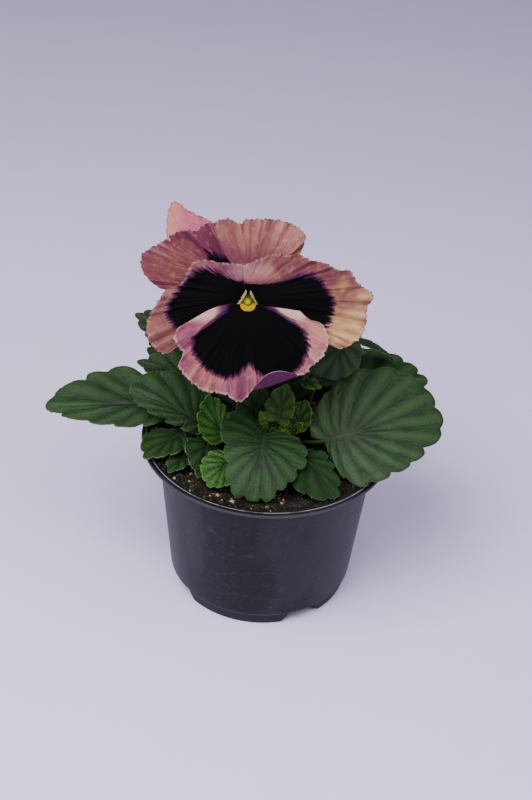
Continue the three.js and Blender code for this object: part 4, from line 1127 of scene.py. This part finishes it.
TOP_BLOTCH = [
    (-15.4, 18.6), (-11, 17.0), (-8.2, 15.8), (-6.5, 17.4), (-4.2, 16.0), (-2.4, 14), (-3, 3), (-14, 10)]

# %% One row a petal
# claw ends, margin, layer off the face, slope above and below the throat, lean away, waves and ruffle of
# the margin, and folds: where along the margin, how wide, how far out of the face
PETALS = {
    "petal_lower": dict(
        claw=[(-2.2, -1.6), (3.2, -1.6)], layer=2.2, slopes=(0.1, 0.22), away=0, waves=5.5, ruffle=1.1,
        blotch=LOWER_BLOTCH, shoulder=2.2,
        folds=[(0.1, 0.03, 0.8), (0.2, 0.03, -0.6), (0.45, 0.025, -0.9), (0.52, 0.02, 0.7),
               (0.86, 0.04, 0.8)],
        margin=[(-21.6, -8.3), (-26.1, -10.6), (-27.7, -14.8), (-25.4, -18.6), (-24.3, -20.5), (-26.1, -25),
                (-24.2, -28), (-20.5, -31.8), (-15.9, -34.8), (-12.1, -35.2), (-7.2, -36.4), (-4.2, -38.6),
                (-1.5, -38.3), (2.3, -34.3), (6.1, -33.0), (12.1, -31.2), (18.6, -28.8), (21.9, -28.3),
                (24.6, -25.2), (28.3, -22.2), (30.3, -18.6), (31.1, -14.8), (28.4, -9.1), (23.5, -7.2),
                (20.1, -4.2)]),
    "petal_side_left": dict(
        claw=[(-1.0, 3.6), (-2.8, -0.7)], layer=0, slopes=(0.05, 0.22), away=-0.05, waves=4.5, ruffle=1.0,
        blotch=LEFT_BLOTCH, shoulder=0,
        folds=[(0.2, 0.05, 0.7), (0.42, 0.03, -0.7), (0.6, 0.04, 0.6), (0.75, 0.03, -0.6)],
        margin=[(-1.3, 13.6), (-6.6, 14), (-10.5, 14.2), (-14.8, 15.2), (-19.3, 14.8), (-21.6, 12.9),
                (-25, 6.4), (-31.1, 3.4), (-33.7, -0.4), (-35.6, -3.4), (-37.9, -8), (-37.9, -13.6),
                (-36, -17.4), (-31.8, -20.5), (-28.6, -19.3), (-26.5, -16.7), (-21.6, -15)]),
    "petal_side_right": dict(
        claw=[(-0.9, 3.7), (4.2, -1.7)], layer=0, slopes=(0.05, 0.22), away=-0.05, waves=5, ruffle=1.0,
        blotch=RIGHT_BLOTCH, shoulder=0, lap=0.7,
        folds=[(0.15, 0.04, 0.5), (0.42, 0.03, -0.9), (0.55, 0.03, 0.9), (0.68, 0.03, -0.8),
               (0.8, 0.03, 0.7)],
        margin=[(-1.9, 12.9), (2.7, 14.8), (8, 16.7), (11, 17.4), (15.5, 16.9), (19.7, 17.4), (24.2, 15.2),
                (29.9, 14), (34.8, 11.4), (39.4, 11), (41.3, 7.6), (43.6, 5.3), (48.1, 1.8), (45.5, -3.4),
                (45.5, -7.2), (43.6, -13.6), (41.7, -15.5), (36, -18.6), (33, -17.8), (28, -15.6)]),
    "petal_top_left": dict(
        claw=[(-3.4, 3.4), (-1.2, 5.2)], layer=-4.4, slopes=(-0.12, 0.1), away=-0.04, waves=5, ruffle=1.0,
        blotch=TOP_BLOTCH, shoulder=0,
        folds=[(0.25, 0.04, -0.8), (0.4, 0.04, 0.7), (0.62, 0.03, -0.6), (0.8, 0.04, 0.8)],
        margin=[(-23.5, 3.8), (-31.8, 4), (-36.7, 7.2), (-39.8, 11.4), (-40.3, 15.2), (-39.8, 17.4),
                (-36, 20.1), (-32.4, 22), (-27.3, 25.4), (-23.1, 26.5), (-18.6, 26.3), (-16.7, 28.4),
                (-12.1, 29.2), (-7.2, 27.3), (-3.5, 21)]),
    "petal_top_right": dict(
        claw=[(-0.6, 5.4), (3.0, 3.8)], layer=-0.6, slopes=(-0.12, 0.1), away=-0.04, waves=7.5, ruffle=1.0,
        blotch=None, shoulder=0,
        folds=[(0.22, 0.03, -0.8), (0.36, 0.025, 0.7), (0.5, 0.025, -0.7), (0.63, 0.025, 0.6),
               (0.8, 0.03, -0.7)],
        margin=[(-9.5, 19), (-12.1, 24.6), (-12.1, 29.2), (-9.1, 30.7), (-6.4, 30.7), (-2.3, 28.8),
                (-1.1, 30.3), (2.3, 30.7), (9.1, 30.7), (14, 29.9), (19.1, 27.8), (22.3, 24.2),
                (21.2, 19.7), (18.2, 13.3), (12, 8)]),
}
# the folded-back flap of the upper left petal
FLAP = dict(
    claw=[(-22, 13), (-13, 14)], layer=-2.9, slopes=(-0.3, 0), away=0, waves=2, ruffle=0.5, blotch=None,
    shoulder=0, folds=[],
    margin=[(-29, 20), (-30.5, 23.5), (-30.5, 27.3), (-30.3, 32.2), (-29.2, 35.6), (-28.6, 37.1),
            (-25.4, 36.7), (-23.5, 34.8), (-18.6, 32.2), (-13.6, 29.7), (-11, 24)])

# %% [markdown]
# A petal is as thin as tissue and never flat. Three scales of relief make it read so: the broad ruffle of
# the margin, the folds that run out from the throat, and fine crimps that follow the petal's streaks. The
# margin is nicked.

# %% A petal
PETAL_COLUMNS = 300
PETAL_STEPS = 56
PETAL_THICK = 0.32
NO_BLOTCH = 30.0
FUNNEL = 2.6
FUNNEL_RADIUS = 6


def petal_body(row, columns, steps, seed):
    rim, rim_length = along_line(smooth_line(row["margin"], 2000), np.linspace(0, 1, columns + 1))
    q = np.linspace(0, 1, columns + 1)
    arc = q * rim_length
    claw = np.array(row["claw"][0]) + np.outer(q, np.subtract(row["claw"][1], row["claw"][0]))
    ends = np.minimum(1, np.minimum(8 * q, 8 * (1 - q)))
    reach = np.hypot(*(rim - claw).T)
    nicks = 0.28 * ripple(arc, (1.7, 2.6, 4.1), seed) * ends
    s = np.linspace(0, 1, steps + 1)[None, :]
    grown = s * (1 + (s**4) * (nicks / reach)[:, None])
    x = claw[:, :1] + (rim - claw)[:, :1] * grown
    y = claw[:, 1:] + (rim - claw)[:, 1:] * grown
    bulge = row["shoulder"] * 4 * s * (1 - s) * np.maximum(0, 1 - q[:, None] / 0.12)
    y = y + bulge
    slope = np.where(y > 0, row["slopes"][0], row["slopes"][1])
    funnel = FUNNEL * np.exp(-(x * x + y * y) / FUNNEL_RADIUS**2)
    out = row["layer"] + slope * y + row["away"] * np.abs(x) - funnel
    wave = row["ruffle"] * s**3 * (ends * np.sin(2 * math.pi * row["waves"] * q))[:, None]
    bumps = (deep * np.exp(-(((q - at) / wide) ** 2)) for at, wide, deep in row["folds"])
    folds = sum(bumps, np.zeros_like(q))
    crimps = 0.07 * ripple(arc, (2.3, 1.55, 3.4), seed + 1) * (1 + ripple(arc, (13.0, 21.0), seed + 3))
    frill = 0.52 * ripple(arc, (9.5, 6.1, 4.3), seed + 2) * ends
    rumple = 0.34 * ripple(arc, (7.3, 5.1, 3.7), seed + 4) * ends
    crease = 0.6 * wave + 1.3 * s**2 * (folds * ends)[:, None] + s**1.3 * crimps[:, None]
    crease = crease + s**5 * frill[:, None] + s**2 * rumple[:, None]
    lap = row.get("lap", 0) * np.exp(-((q / 0.05) ** 2))[:, None] * s**0.5
    out = out + 0.4 * wave + crease + lap
    thick = PETAL_THICK * (1 - 0.5 * s**3) * np.ones((columns + 1, 1))
    points, faces = sheet_body(on_face(x, y, out), -face_out * thick.reshape(-1, 1))
    spots = np.stack([x.ravel(), y.ravel()], axis=-1)
    blotch = gap_to_outline(spots, row["blotch"]) if row["blotch"] else np.full(len(spots), NO_BLOTCH)
    edge = reach[:, None] * (1 - s)
    place = [(arc[:, None] + 0 * s).ravel(), (s + 0 * q[:, None]).ravel(), x.ravel()]
    marks = dict(
        petal_place=np.stack(place, axis=-1),
        rim_gap=edge.ravel(), blotch_gap=blotch, face_y=y.ravel(), crease=(crease + 0 * x).ravel())
    marks = {name: doubled(values) for name, values in marks.items()}
    marks["under"] = np.repeat([0.0, 1.0], len(spots))
    return points, faces, marks


# %% [markdown]
# The petals are dusty rose to peach. Streaks run from the claw to the margin, so the streak noise is read
# along the marks: fast across the arc, slow on the way out. The dark blotch is the signed gap to its
# outline, feathered by the same kind of streaks, with a violet fringe outside it. A fine, broken, darker
# line follows the very edge. Painted shade darkens the creases of the relief, the part near the claw, most
# on the upper petals, and a line along each petal's first edge where it meets its neighbour. A painted
# highlight lightens the crests. A pale line inside the margin is partly the petal's own paler edge and
# partly a painted highlight on its raised rim.


# %% Petal finish
def petal_finish(name, colours, peach_from, seed, shade=0.1, pale_rim=0.05, shoulders=False, ragged=1.0,
                 blossom=0.0):
    rose, peach, deep, warm = (paint(*colour) for colour in colours)
    f = Finish(name, {"Specular IOR Level": 0.05, "Subsurface Weight": 0.08, "Subsurface Scale": 0.001})
    arc, share, right = f.triple("petal_place")
    up = f.number("face_y")
    gap = f.number("blotch_gap")
    edge = f.number("rim_gap")
    under = f.number("under")
    hollow = f.number("crease")
    place = f.place()
    patches = f.noise(place, 95, 3, 0.6)
    mottle = f.noise(place, 420, 4, 0.65)
    sway = arc + 5.0 * (patches - 0.5) + 1.2 * (mottle - 0.5)
    fine = f.noise(f.vector(sway * 2.1, share * 2.6, float(seed)), 1.0, 4, 0.65)
    broad = f.noise(f.vector(sway * 0.34, share * 2.4, seed + 9.0), 1.0, 3, 0.55)
    side, height, start, full = peach_from
    lean = f.step(right * side + up * height + 10 * (patches - 0.5) + 8 * (broad - 0.5), start, full)
    base = f.mix(lean, rose, peach)
    base = f.mix(f.step(f.noise(place, 70, 2, 0.5), 0.46, 0.62) * f.step(share, 0.25, 0.6) * 0.5, base, warm)
    base = f.mix(f.step(broad, 0.44, 0.7) * 0.42, base, deep)
    base = f.mix(f.step(mottle, 0.5, 0.72) * 0.3, base, deep)
    base = f.mix(f.step(fine, 0.48, 0.7) * 0.36, base, deep)
    base = f.mix((1 - f.step(fine, 0.3, 0.46)) * 0.2, base, paint(214, 172, 156))
    base = f.mix((1 - f.step(mottle, 0.3, 0.46)) * 0.2, base, paint(206, 166, 132))
    # darker in the creases of the relief: painted shade
    base = f.mix((1 - f.step(hollow, -1.3, 0.3)) * 0.45, base, deep)
    if blossom:
        crown = f.step(up, 6.0, 9.0) * (1 - f.step(abs(right - 1.5), 3, 11))
        base = f.mix(crown * blossom, base, paint(204, 150, 150))
    # paler on the crests of the relief: painted highlight
    base = f.mix(f.step(hollow, 0.3, 1.4) * 0.16, base, paint(222, 180, 156))
    base = f.mix((1 - f.step(edge, 0.8, 6.0)) * f.step(patches, 0.42, 0.62) * 0.55, base, rose)
    base = f.mix((1 - f.step(share, 0.3, 0.85)) * shade, base, deep)
    if shoulders:
        high = f.step(up, -9.5, -6.0) * f.step(abs(right), 9, 13) * (1 - f.step(abs(right), 20, 24))
        base = f.mix(high * (0.45 + 0.4 * fine), base, paint(212, 172, 160))
    teeth = f.noise(f.vector(sway * 0.95, share * 2.0, seed + 4.0), 1.0, 2, 0.5)
    hairs = f.noise(f.vector(sway * 2.4, share * 2.5, seed + 6.0), 1.0, 2, 0.6)
    feather = ragged * (0.65 * teeth + 0.35 * hairs - 0.5) * f.step(share, 0.15, 0.6)
    above = f.step(up, 3.5, 6.0) * (1 - f.step(abs(right), 10, 20)) if blossom else 0.0
    fringe = (1 - f.step(gap + 8 * feather, 0.5, 1.1)) * (1 - 0.75 * above)
    heart = 1 - f.step(gap + 9 * feather, -0.5, 0.0)
    if shoulders:
        near = (1 - f.step(abs(right), 6, 9.5)) * f.step(up, -10, -7)
        base = f.mix((1 - f.step(abs(right), 8.5, 13)) * f.step(up, -10, -7) * 0.85, base, paint(70, 28, 76))
        heart = heart.most(near)
    base = f.mix((1 - f.step(gap + 8 * feather, 0.0, 4.0)) * 0.15, base, paint(94, 34, 74))
    base = f.mix(fringe * 0.88, base, paint(52, 12, 54))
    base = f.mix(heart, base, paint(3, 2, 4))
    skin = f.mix(f.step(right + 8 * (fine - 0.5), -33, -22), paint(216, 154, 128), paint(196, 104, 130))
    base = f.mix(under * (0.3 + 0.3 * fine), base, skin)
    broken = f.step(f.noise(f.vector(arc * 0.7, 0.0, seed + 2.0), 1.0, 3, 0.6), 0.4, 0.62)
    # a pale line inside the margin: partly the petal's paler edge, partly a painted highlight on its raised
    # rim
    pale = pale_rim * (1.3 - broken) * (1 - heart)
    base = f.mix((1 - f.step(edge, 0.45, 1.2)) * pale, base, paint(224, 190, 170))
    base = f.mix((1 - f.step(edge, 0.35, 0.95)) * broken * (0.9 - 1.6 * pale_rim), base, paint(60, 24, 42))
    # a darker line along each petal's first edge, where it meets its neighbour: painted shade
    base = f.mix((1 - f.step(arc, 0.2, 0.8)) * 0.5, base, deep)
    f.surface({
        "Base Color": base,
        "Roughness": 0.68 + 0.15 * fine,
        "Normal": f.bump(fine * 0.9 + mottle * 0.8 + 0.4 * f.noise(place, 2200, 2, 0.5), 0.5, 0.2),
    })
    return f


# the colours are rose, peach, the deep streaks and the warm patches; peach_from gives the direction on the
# face in which rose turns to peach, and from how many mm to how many
PETAL_TONES = {
    "petal_lower": dict(
        colours=[(124, 67, 87), (176, 120, 113), (84, 34, 60), (182, 123, 98)],
        peach_from=(0.35, -0.05, -2, 13), seed=3, pale_rim=0.35, shoulders=True, ragged=0.65),
    "petal_side_left": dict(
        colours=[(102, 52, 72), (128, 84, 70), (74, 30, 54), (166, 132, 90)],
        peach_from=(-0.5, -0.6, 14, 24), seed=21, pale_rim=0.16, blossom=0.2),
    "petal_side_right": dict(
        colours=[(104, 57, 62), (206, 163, 114), (76, 34, 48), (166, 126, 78)],
        peach_from=(0.5, -0.6, 15, 27), seed=37, pale_rim=0.16, blossom=0.26),
    "petal_top_left": dict(
        colours=[(94, 40, 62), (120, 68, 72), (62, 20, 40), (124, 74, 60)],
        peach_from=(-0.5, 0.1, 10, 26), seed=55, shade=0.38, ragged=1.2),
    "petal_top_right": dict(
        colours=[(120, 66, 78), (156, 106, 98), (76, 31, 48), (150, 104, 76)],
        peach_from=(0.3, 0.5, 8, 20), seed=71, shade=0.6),
}
PETAL_FINISHES = {name: petal_finish(name, **row) for name, row in PETAL_TONES.items()}
print(len(PETAL_FINISHES), "petal finishes")

# %% All the petals
for number, (name, row) in enumerate(PETALS.items()):
    shell = Shell()
    points, faces, marks = petal_body(row, PETAL_COLUMNS, PETAL_STEPS, 200 + 10 * number)
    shell.add(points, faces, **marks)
    if name == "petal_top_left":
        points, faces, marks = petal_body(FLAP, 120, 24, 260)
        marks["under"][:] = 1.25
        shell.add(points, faces, **marks)
    keep(shell.make(name + "_grown"), PETAL_FINISHES[name], "petal", name)

# %% [markdown]
# At the bottom of the lower petal the margin is turned up and shows its violet back. It is a small sheet of
# its own, from the fold line below to its free edge above, rounded towards the viewer.

# %% The turned-up margin
FOLD_LINE = [(2.0, -34.2), (6.1, -33.5), (11.0, -32.0), (15.5, -30.3), (19.4, -28.8)]
FOLD_EDGE = [(2.6, -33.2), (5.0, -30.6), (7.6, -28.2), (12.2, -26.9), (18.9, -28.2)]
FOLD_LENGTH = 16
FOLD_THICK = 0.25


def turned_margin():
    columns, steps = 60, 14
    q = np.linspace(0, 1, columns + 1)
    low, _ = along_line(smooth_line(FOLD_LINE), q)
    high, _ = along_line(smooth_line(FOLD_EDGE), q)
    s = np.linspace(0, 1, steps + 1)[None, :]
    x = low[:, :1] + (high - low)[:, :1] * s
    y = low[:, 1:] + (high - low)[:, 1:] * s
    width = np.hypot(*(high - low).T)[:, None]
    swell = 0.25 * width * np.sin(math.pi * np.minimum(s, 0.85) / 1.7)
    rise = 1.7 + swell + 0.12 * ripple(q * FOLD_LENGTH, (2.1, 3.3), 9)[:, None] * s
    lower = PETALS["petal_lower"]
    out = lower["layer"] + lower["slopes"][1] * y + rise
    points, faces = sheet_body(on_face(x, y, out), -face_out * FOLD_THICK)
    shell = Shell()
    share = doubled((s + 0 * q[:, None]).ravel())
    arc = doubled((FOLD_LENGTH * q[:, None] + 0 * s).ravel())
    shell.add(points, faces, petal_place=np.stack([arc, share, 0 * arc], axis=-1))
    return shell.make("petal_turned_margin")


def violet_finish():
    f = Finish("petal_violet_back", {"Specular IOR Level": 0.1, "Sheen Weight": 0.05})
    arc, share, _ = f.triple("petal_place")
    fine = f.noise(f.vector(arc * 1.6, share * 1.2, 5.0), 1.0, 4, 0.6)
    base = f.mix(f.step(fine, 0.3, 0.7), paint(44, 9, 44), paint(72, 24, 70))
    base = f.mix((1 - share) * 0.5, base, paint(74, 28, 52))
    base = f.mix(f.step(share, 0.92, 0.98) * 0.5, base, paint(170, 128, 146))
    f.surface({"Base Color": base, "Roughness": 0.65 + 0.2 * fine, "Normal": f.bump(fine, 0.5, 0.2)})
    return f


keep(turned_margin(), violet_finish(), "petal")

# %% [markdown]
# In the throat are the pistil's green-yellow knob, a yellow eye on the lower petal that swells into a green
# ball round the knob, and two narrow tufts of short pale hairs, the beards, like an upturned V. The knob is
# a ball whose points are moved by a formula, the eye is a disc of rings, and each hair is a tapered tube of
# a few faces.


# %% The pistil
def pistil_knob():
    fresh()
    bpy.ops.mesh.primitive_uv_sphere_add(segments=32, ring_count=20, radius=1)
    knob = bpy.context.object
    knob.name = "pistil_knob"
    for point in knob.data.vertices:
        x, y, z = point.co
        out = -3.85 + 3.05 * z
        swell = 1.0 + 0.45 * math.exp(-(((z - 0.45) / 0.35) ** 2))
        hollow = 0.9 * math.exp(-((math.hypot(x, y + 0.1) / 0.35) ** 2)) if z > 0 else 0.0
        spot = on_face(0.4 + 1.05 * swell * x, 0.4 + 1.05 * swell * y, out - hollow)
        point.co = Vector(spot * MM)
    knob.data.shade_smooth()
    return knob


def knob_finish():
    f = Finish("pistil_green", {"Specular IOR Level": 0.4})
    place = f.place()
    fine = f.noise(place, 1800, 3, 0.6)
    base = f.mix(f.step(fine, 0.35, 0.7), paint(84, 92, 10), paint(128, 132, 22))
    f.surface({"Base Color": base, "Roughness": 0.45 + 0.2 * fine, "Normal": f.bump(fine, 0.4, 0.1)})
    return f


keep(pistil_knob(), knob_finish(), "pistil", "pistil")

# %% The yellow eye and the beards
EYE_CENTRE = (0.4, -1.95)
EYE_RADIUS = 3.0
KNOB_CENTRE = (0.35, -0.7)
KNOB_RADIUS = 1.5
BEARD_HAIRS = 110


def throat_out(x, y, row):
    slope = row["slopes"][0] if y > 0 else row["slopes"][1]
    funnel = FUNNEL * math.exp(-(x * x + y * y) / FUNNEL_RADIUS**2)
    return row["layer"] + slope * y + row["away"] * abs(x) - funnel


def eye_patch():
    lower = PETALS["petal_lower"]
    turns, rings = 64, 24
    points, from_knob = [], []
    for ring in range(1, rings + 1):
        for k in range(turns):
            a = 2 * math.pi * k / turns
            wobble = 1 + 0.02 * math.sin(5 * a) + 0.02 * math.sin(9 * a + 1)
            r = EYE_RADIUS * ring / rings * wobble
            narrow = 1 - 0.3 * max(0.0, math.sin(a))
            tall = 1.15 if math.sin(a) > 0 else 0.8
            x, y = EYE_CENTRE[0] + r * narrow * math.cos(a), EYE_CENTRE[1] + tall * r * math.sin(a)
            gap = math.hypot(x - KNOB_CENTRE[0], y - KNOB_CENTRE[1]) / KNOB_RADIUS
            ball = math.sqrt(max(0.0, 1 - gap**2)) - 0.25 * math.exp(-((gap / 0.3) ** 2))
            swell = 0.35 * (1 - (ring / rings) ** 2)
            points.append(on_face(x, y, throat_out(x, y, lower) + 0.15 + swell + ball))
            from_knob.append(gap)
    top = np.array(points)
    index = np.arange(len(top)).reshape(rings, turns)
    index = np.hstack([index, index[:, :1]])
    top = np.vstack([top, top[:turns].mean(axis=0)])
    rise = (top - THROAT) @ face_y
    from_knob = np.append(from_knob, np.mean(from_knob[:turns]))
    middle = np.full((1, turns + 1), len(top) - 1)
    points, faces = thin_body(top, grid_faces(np.vstack([middle, index])), index[-1, :-1], -face_out * 0.3)
    shell = Shell()
    shell.add(points, faces, face_y=doubled(rise), knob_gap=doubled(from_knob))
    return shell.make("throat_eye")


def eye_finish():
    f = Finish("throat_yellow", {"Specular IOR Level": 0.08})
    fine = f.noise(f.place(), 1400, 3, 0.6)
    up = f.number("face_y")
    gap = f.number("knob_gap")
    base = f.mix(f.step(fine, 0.3, 0.75), paint(138, 106, 0), paint(172, 140, 0))
    base = f.mix(f.step(up + 1.2 * (fine - 0.5), -2.1, -0.9), base, paint(44, 40, 4))
    base = f.mix(f.step(up + 1.2 * (fine - 0.5), 0.2, 1.6), base, paint(50, 36, 24))
    base = f.mix(1 - f.step(gap, 0.92, 1.15), base, paint(84, 78, 2))
    green = f.mix(fine, paint(92, 92, 4), paint(122, 120, 16))
    # the middle of the green ball is paler: painted highlight
    green = f.mix(1 - f.step(gap + 0.3 * (fine - 0.5), 0.1, 0.7), green, paint(136, 142, 48))
    base = f.mix(1 - f.step(gap, 0.75, 0.98), base, green)
    f.surface({"Base Color": base, "Roughness": 0.5 + 0.2 * fine, "Normal": f.bump(fine, 0.4, 0.12)})
    return f


def beard(name, top_at, low_at, lean, seed):
    random = np.random.default_rng(seed)
    shell = Shell()
    side = PETALS["petal_side_left"]
    for _ in range(BEARD_HAIRS):
        share = random.random()
        x = top_at[0] + (low_at[0] - top_at[0]) * share + random.uniform(-0.4, 0.4) * (0.4 + share)
        y = top_at[1] + (low_at[1] - top_at[1]) * share + random.uniform(-0.3, 0.3)
        out = throat_out(x, y, side) + 0.1
        length = random.uniform(0.6, 1.2)
        tip = np.array([lean * random.uniform(0.3, 1.0), -0.6, 1.0])
        bend = tip[:2] * length
        rise = tip[2] * 1.9 * length
        path = [on_face(x + bend[0] * t**2, y + bend[1] * t**2, out + rise * t) for t in (0, 0.35, 0.7, 1.0)]
        points, faces = tube(path, [0.15, 0.13, 0.1, 0.04], 4)
        shell.add(points, faces)
    return shell.make(name)


def beard_finish():
    f = Finish("beard_cream", {"Specular IOR Level": 0.3})
    fine = f.noise(f.place(), 900, 3, 0.6)
    base = f.mix(fine, paint(140, 128, 72), paint(200, 188, 142))
    f.surface({"Base Color": base, "Roughness": 0.6 + 0.2 * fine})
    return f


keep(eye_patch(), eye_finish(), "petal")
cream = beard_finish()
keep(beard("beard_left", (-0.4, 3.6), (-3.4, -1.9), 0.5, 31), cream, "petal")
keep(beard("beard_right", (1.4, 3.5), (3.6, -1.7), -0.5, 32), cream, "petal")

# %% [markdown]
# ## The flower stalk and the crown
# The stalk rises behind the leaves, hooks over and ends in the receptacle, from which five pointed sepals
# spread. The crown is the short thick stem in the middle, a little swollen where old leaves stood. Both are
# tubes along smooth lines.

# %% The flower stalk and calyx
SEPALS = 5
SEPAL_LENGTH = 14
SEPAL_WIDTHS = [(0, 1.6), (0.2, 2.4), (0.55, 2.0), (0.85, 1.0), (1.0, 0.25)]
SEPAL_THICK = 0.5
SEPAL_FROM = 1.5
CALYX_UP = 1.8
CALYX_OUT = -9.2
# radius and distance out of the bloom's face, from the stalk to the petals
RECEPTACLE = [
    (0.05, -12.65), (1.6, -12.2), (2.6, -11.4), (3.4, -10.4), (3.85, -9.4), (4, -8.6), (3.9, -7.3),
    (0.05, -7.2)]


def ring_body(rings, x, y, sides):
    turns = 2 * math.pi * np.arange(sides) / sides
    rows = [on_face(x + r * np.cos(turns), y + r * np.sin(turns), 0 * turns + out) for r, out in rings]
    ends = [on_face(x, y, rings[0][1]), on_face(x, y, rings[-1][1])]
    count = len(rings) * sides
    faces = round_faces(np.arange(count).reshape(len(rings), sides), count, count + 1)
    return np.vstack([*rows, ends]), faces


def bloom_stalk():
    shell = Shell()
    knots = [(-1, 5.5, 65), (-1.5, 6.5, 85), (-5, 8.5, 115), (-8.5, 9, 138), (-10, 5, 147)]
    knots += [(-10.8, -1, 147.5), on_face(0.2, 1.6, -11.8)]
    path, _ = along_line(smooth_line(knots), np.linspace(0, 1, 60))
    points, faces = tube(path, np.linspace(1.5, 1.2, 60), 20)
    shell.add(points, faces)
    shell.add(*ring_body(RECEPTACLE, 0, CALYX_UP, 28))
    for k in range(SEPALS):
        turn = math.radians(90 + 360 * k / SEPALS)
        dx, dy = math.cos(turn), math.sin(turn)
        t = np.linspace(0, 1, 25)
        half = np.interp(t, *zip(*SEPAL_WIDTHS))
        side = np.linspace(-1, 1, 9)
        a = (SEPAL_FROM + t * SEPAL_LENGTH)[:, None]
        w = half[:, None] * side[None, :]
        out = CALYX_OUT - 3 * (t**2)[:, None] + 0.4 * np.abs(side)[None, :]
        top = on_face(dx * a - dy * w, CALYX_UP + dy * a + dx * w, out)
        shell.add(*sheet_body(top, -face_out * SEPAL_THICK))
    return shell.make("bloom_stalk")


def crown_stem():
    shell = Shell()
    knots = [(0, 0, 65), (0.4, -0.4, 68), (0, 0.4, 76), (1, -0.5, 82)]
    path, _ = along_line(smooth_line(knots), np.linspace(0, 1, 40))
    swell = 0.25 * ripple(np.linspace(0, 17, 40), (3.1, 4.7), 41)
    points, faces = tube(path, np.linspace(3.6, 2.2, 40) + swell, 24)
    shell.add(points, faces)
    return shell.make("crown_stem")


def stem_finish(name, dark, light):
    f = Finish(name, {"Specular IOR Level": 0.4})
    place = f.place()
    streaks = f.noise(f.stretched(place, (1, 1, 0.15)), 1400, 3, 0.6)
    patches = f.noise(place, 160, 3, 0.6)
    base = f.mix(f.step(patches, 0.3, 0.7), dark, light)
    base = f.mix(f.step(streaks, 0.5, 0.8) * 0.4, base, paint(150, 170, 104))
    f.surface({"Base Color": base, "Roughness": 0.5 + 0.15 * streaks, "Normal": f.bump(streaks, 0.5, 0.15)})
    return f


keep(bloom_stalk(), stem_finish("stalk_green", paint(66, 98, 40), paint(98, 130, 62)), "stem", "flower_stalk")
keep(crown_stem(), stem_finish("crown_green", paint(74, 84, 46), paint(104, 112, 66)), "stem", "crown")

# %% [markdown]
# ## Floor, light and camera
# The plant stands on pale paper. A large soft light above the front left models the petals, a weaker one of
# the same size fills from above the front right, and a pale world lifts the shadows, so no shadow has a hard
# edge. The camera looks down by 35 degrees from in front, with a 63 mm lens, as the ellipses of the pot's
# lip and foot tell.


# %% Floor
def paper_finish():
    f = Finish("pale_paper", {"Specular IOR Level": 0.2})
    grain = f.noise(f.place(), 40, 4, 0.6)
    base = f.mix(grain, paint(221, 211, 250), paint(226, 216, 254))
    f.surface({"Base Color": base, "Roughness": 0.8 + 0.1 * grain})
    return f


fresh()
bpy.ops.mesh.primitive_plane_add(size=8, location=(0, 0, 0))
floor = bpy.context.object
floor.name = "paper_floor"
floor.data.materials.append(paper_finish().material)
print("floor under the pot, outside the object")


# %% Lights
def soft_light(name, at, aim, size, power, colour):
    data = bpy.data.lights.new(name, "AREA")
    data.shape = "DISK"
    data.size = size
    data.energy = power
    data.color = colour
    light = bpy.data.objects.new(name, data)
    light.location = at
    light.rotation_euler = (Vector(aim) - Vector(at)).to_track_quat("-Z", "Y").to_euler()
    bpy.context.scene.collection.objects.link(light)


soft_light("light_front_left", (-0.36, -0.42, 0.78), (-0.1, -0.3, 0.0), 0.8, 14, (1.0, 0.99, 0.98))
soft_light("light_right", (0.45, -0.4, 0.78), (0.05, -0.25, 0.0), 0.8, 5.4, (0.98, 0.98, 1.0))
world = bpy.data.worlds.new("pale_room")
world.use_nodes = True
sky = world.node_tree.nodes["Background"]
sky.inputs["Color"].default_value = paint(218, 214, 232)
sky.inputs["Strength"].default_value = 0.36
bpy.context.scene.world = world
print("two soft lights and a pale world")

# %% Camera
CAMERA_AT = Vector((-1.4087, -471.138, 420.779)) * MM
CAMERA_AHEAD = Vector((0, 0.818076, -0.575109))
CAMERA_RIGHT = Vector((0.998206, 0.034435, 0.048983))
CAMERA_UP = Vector((-0.059876, 0.574078, 0.816609))
LENS = 63

fresh()
bpy.ops.object.camera_add()
camera = bpy.context.object
camera.data.lens = LENS
camera.data.sensor_width = 36
camera.data.sensor_fit = "VERTICAL"
camera.data.sensor_height = 36
turn = Matrix((CAMERA_RIGHT, CAMERA_UP, -CAMERA_AHEAD)).transposed()
camera.matrix_world = Matrix.Translation(CAMERA_AT) @ turn.to_4x4()
camera.data.clip_start = 0.01
bpy.context.scene.camera = camera
print("camera in mm:", [round(v / MM) for v in CAMERA_AT])
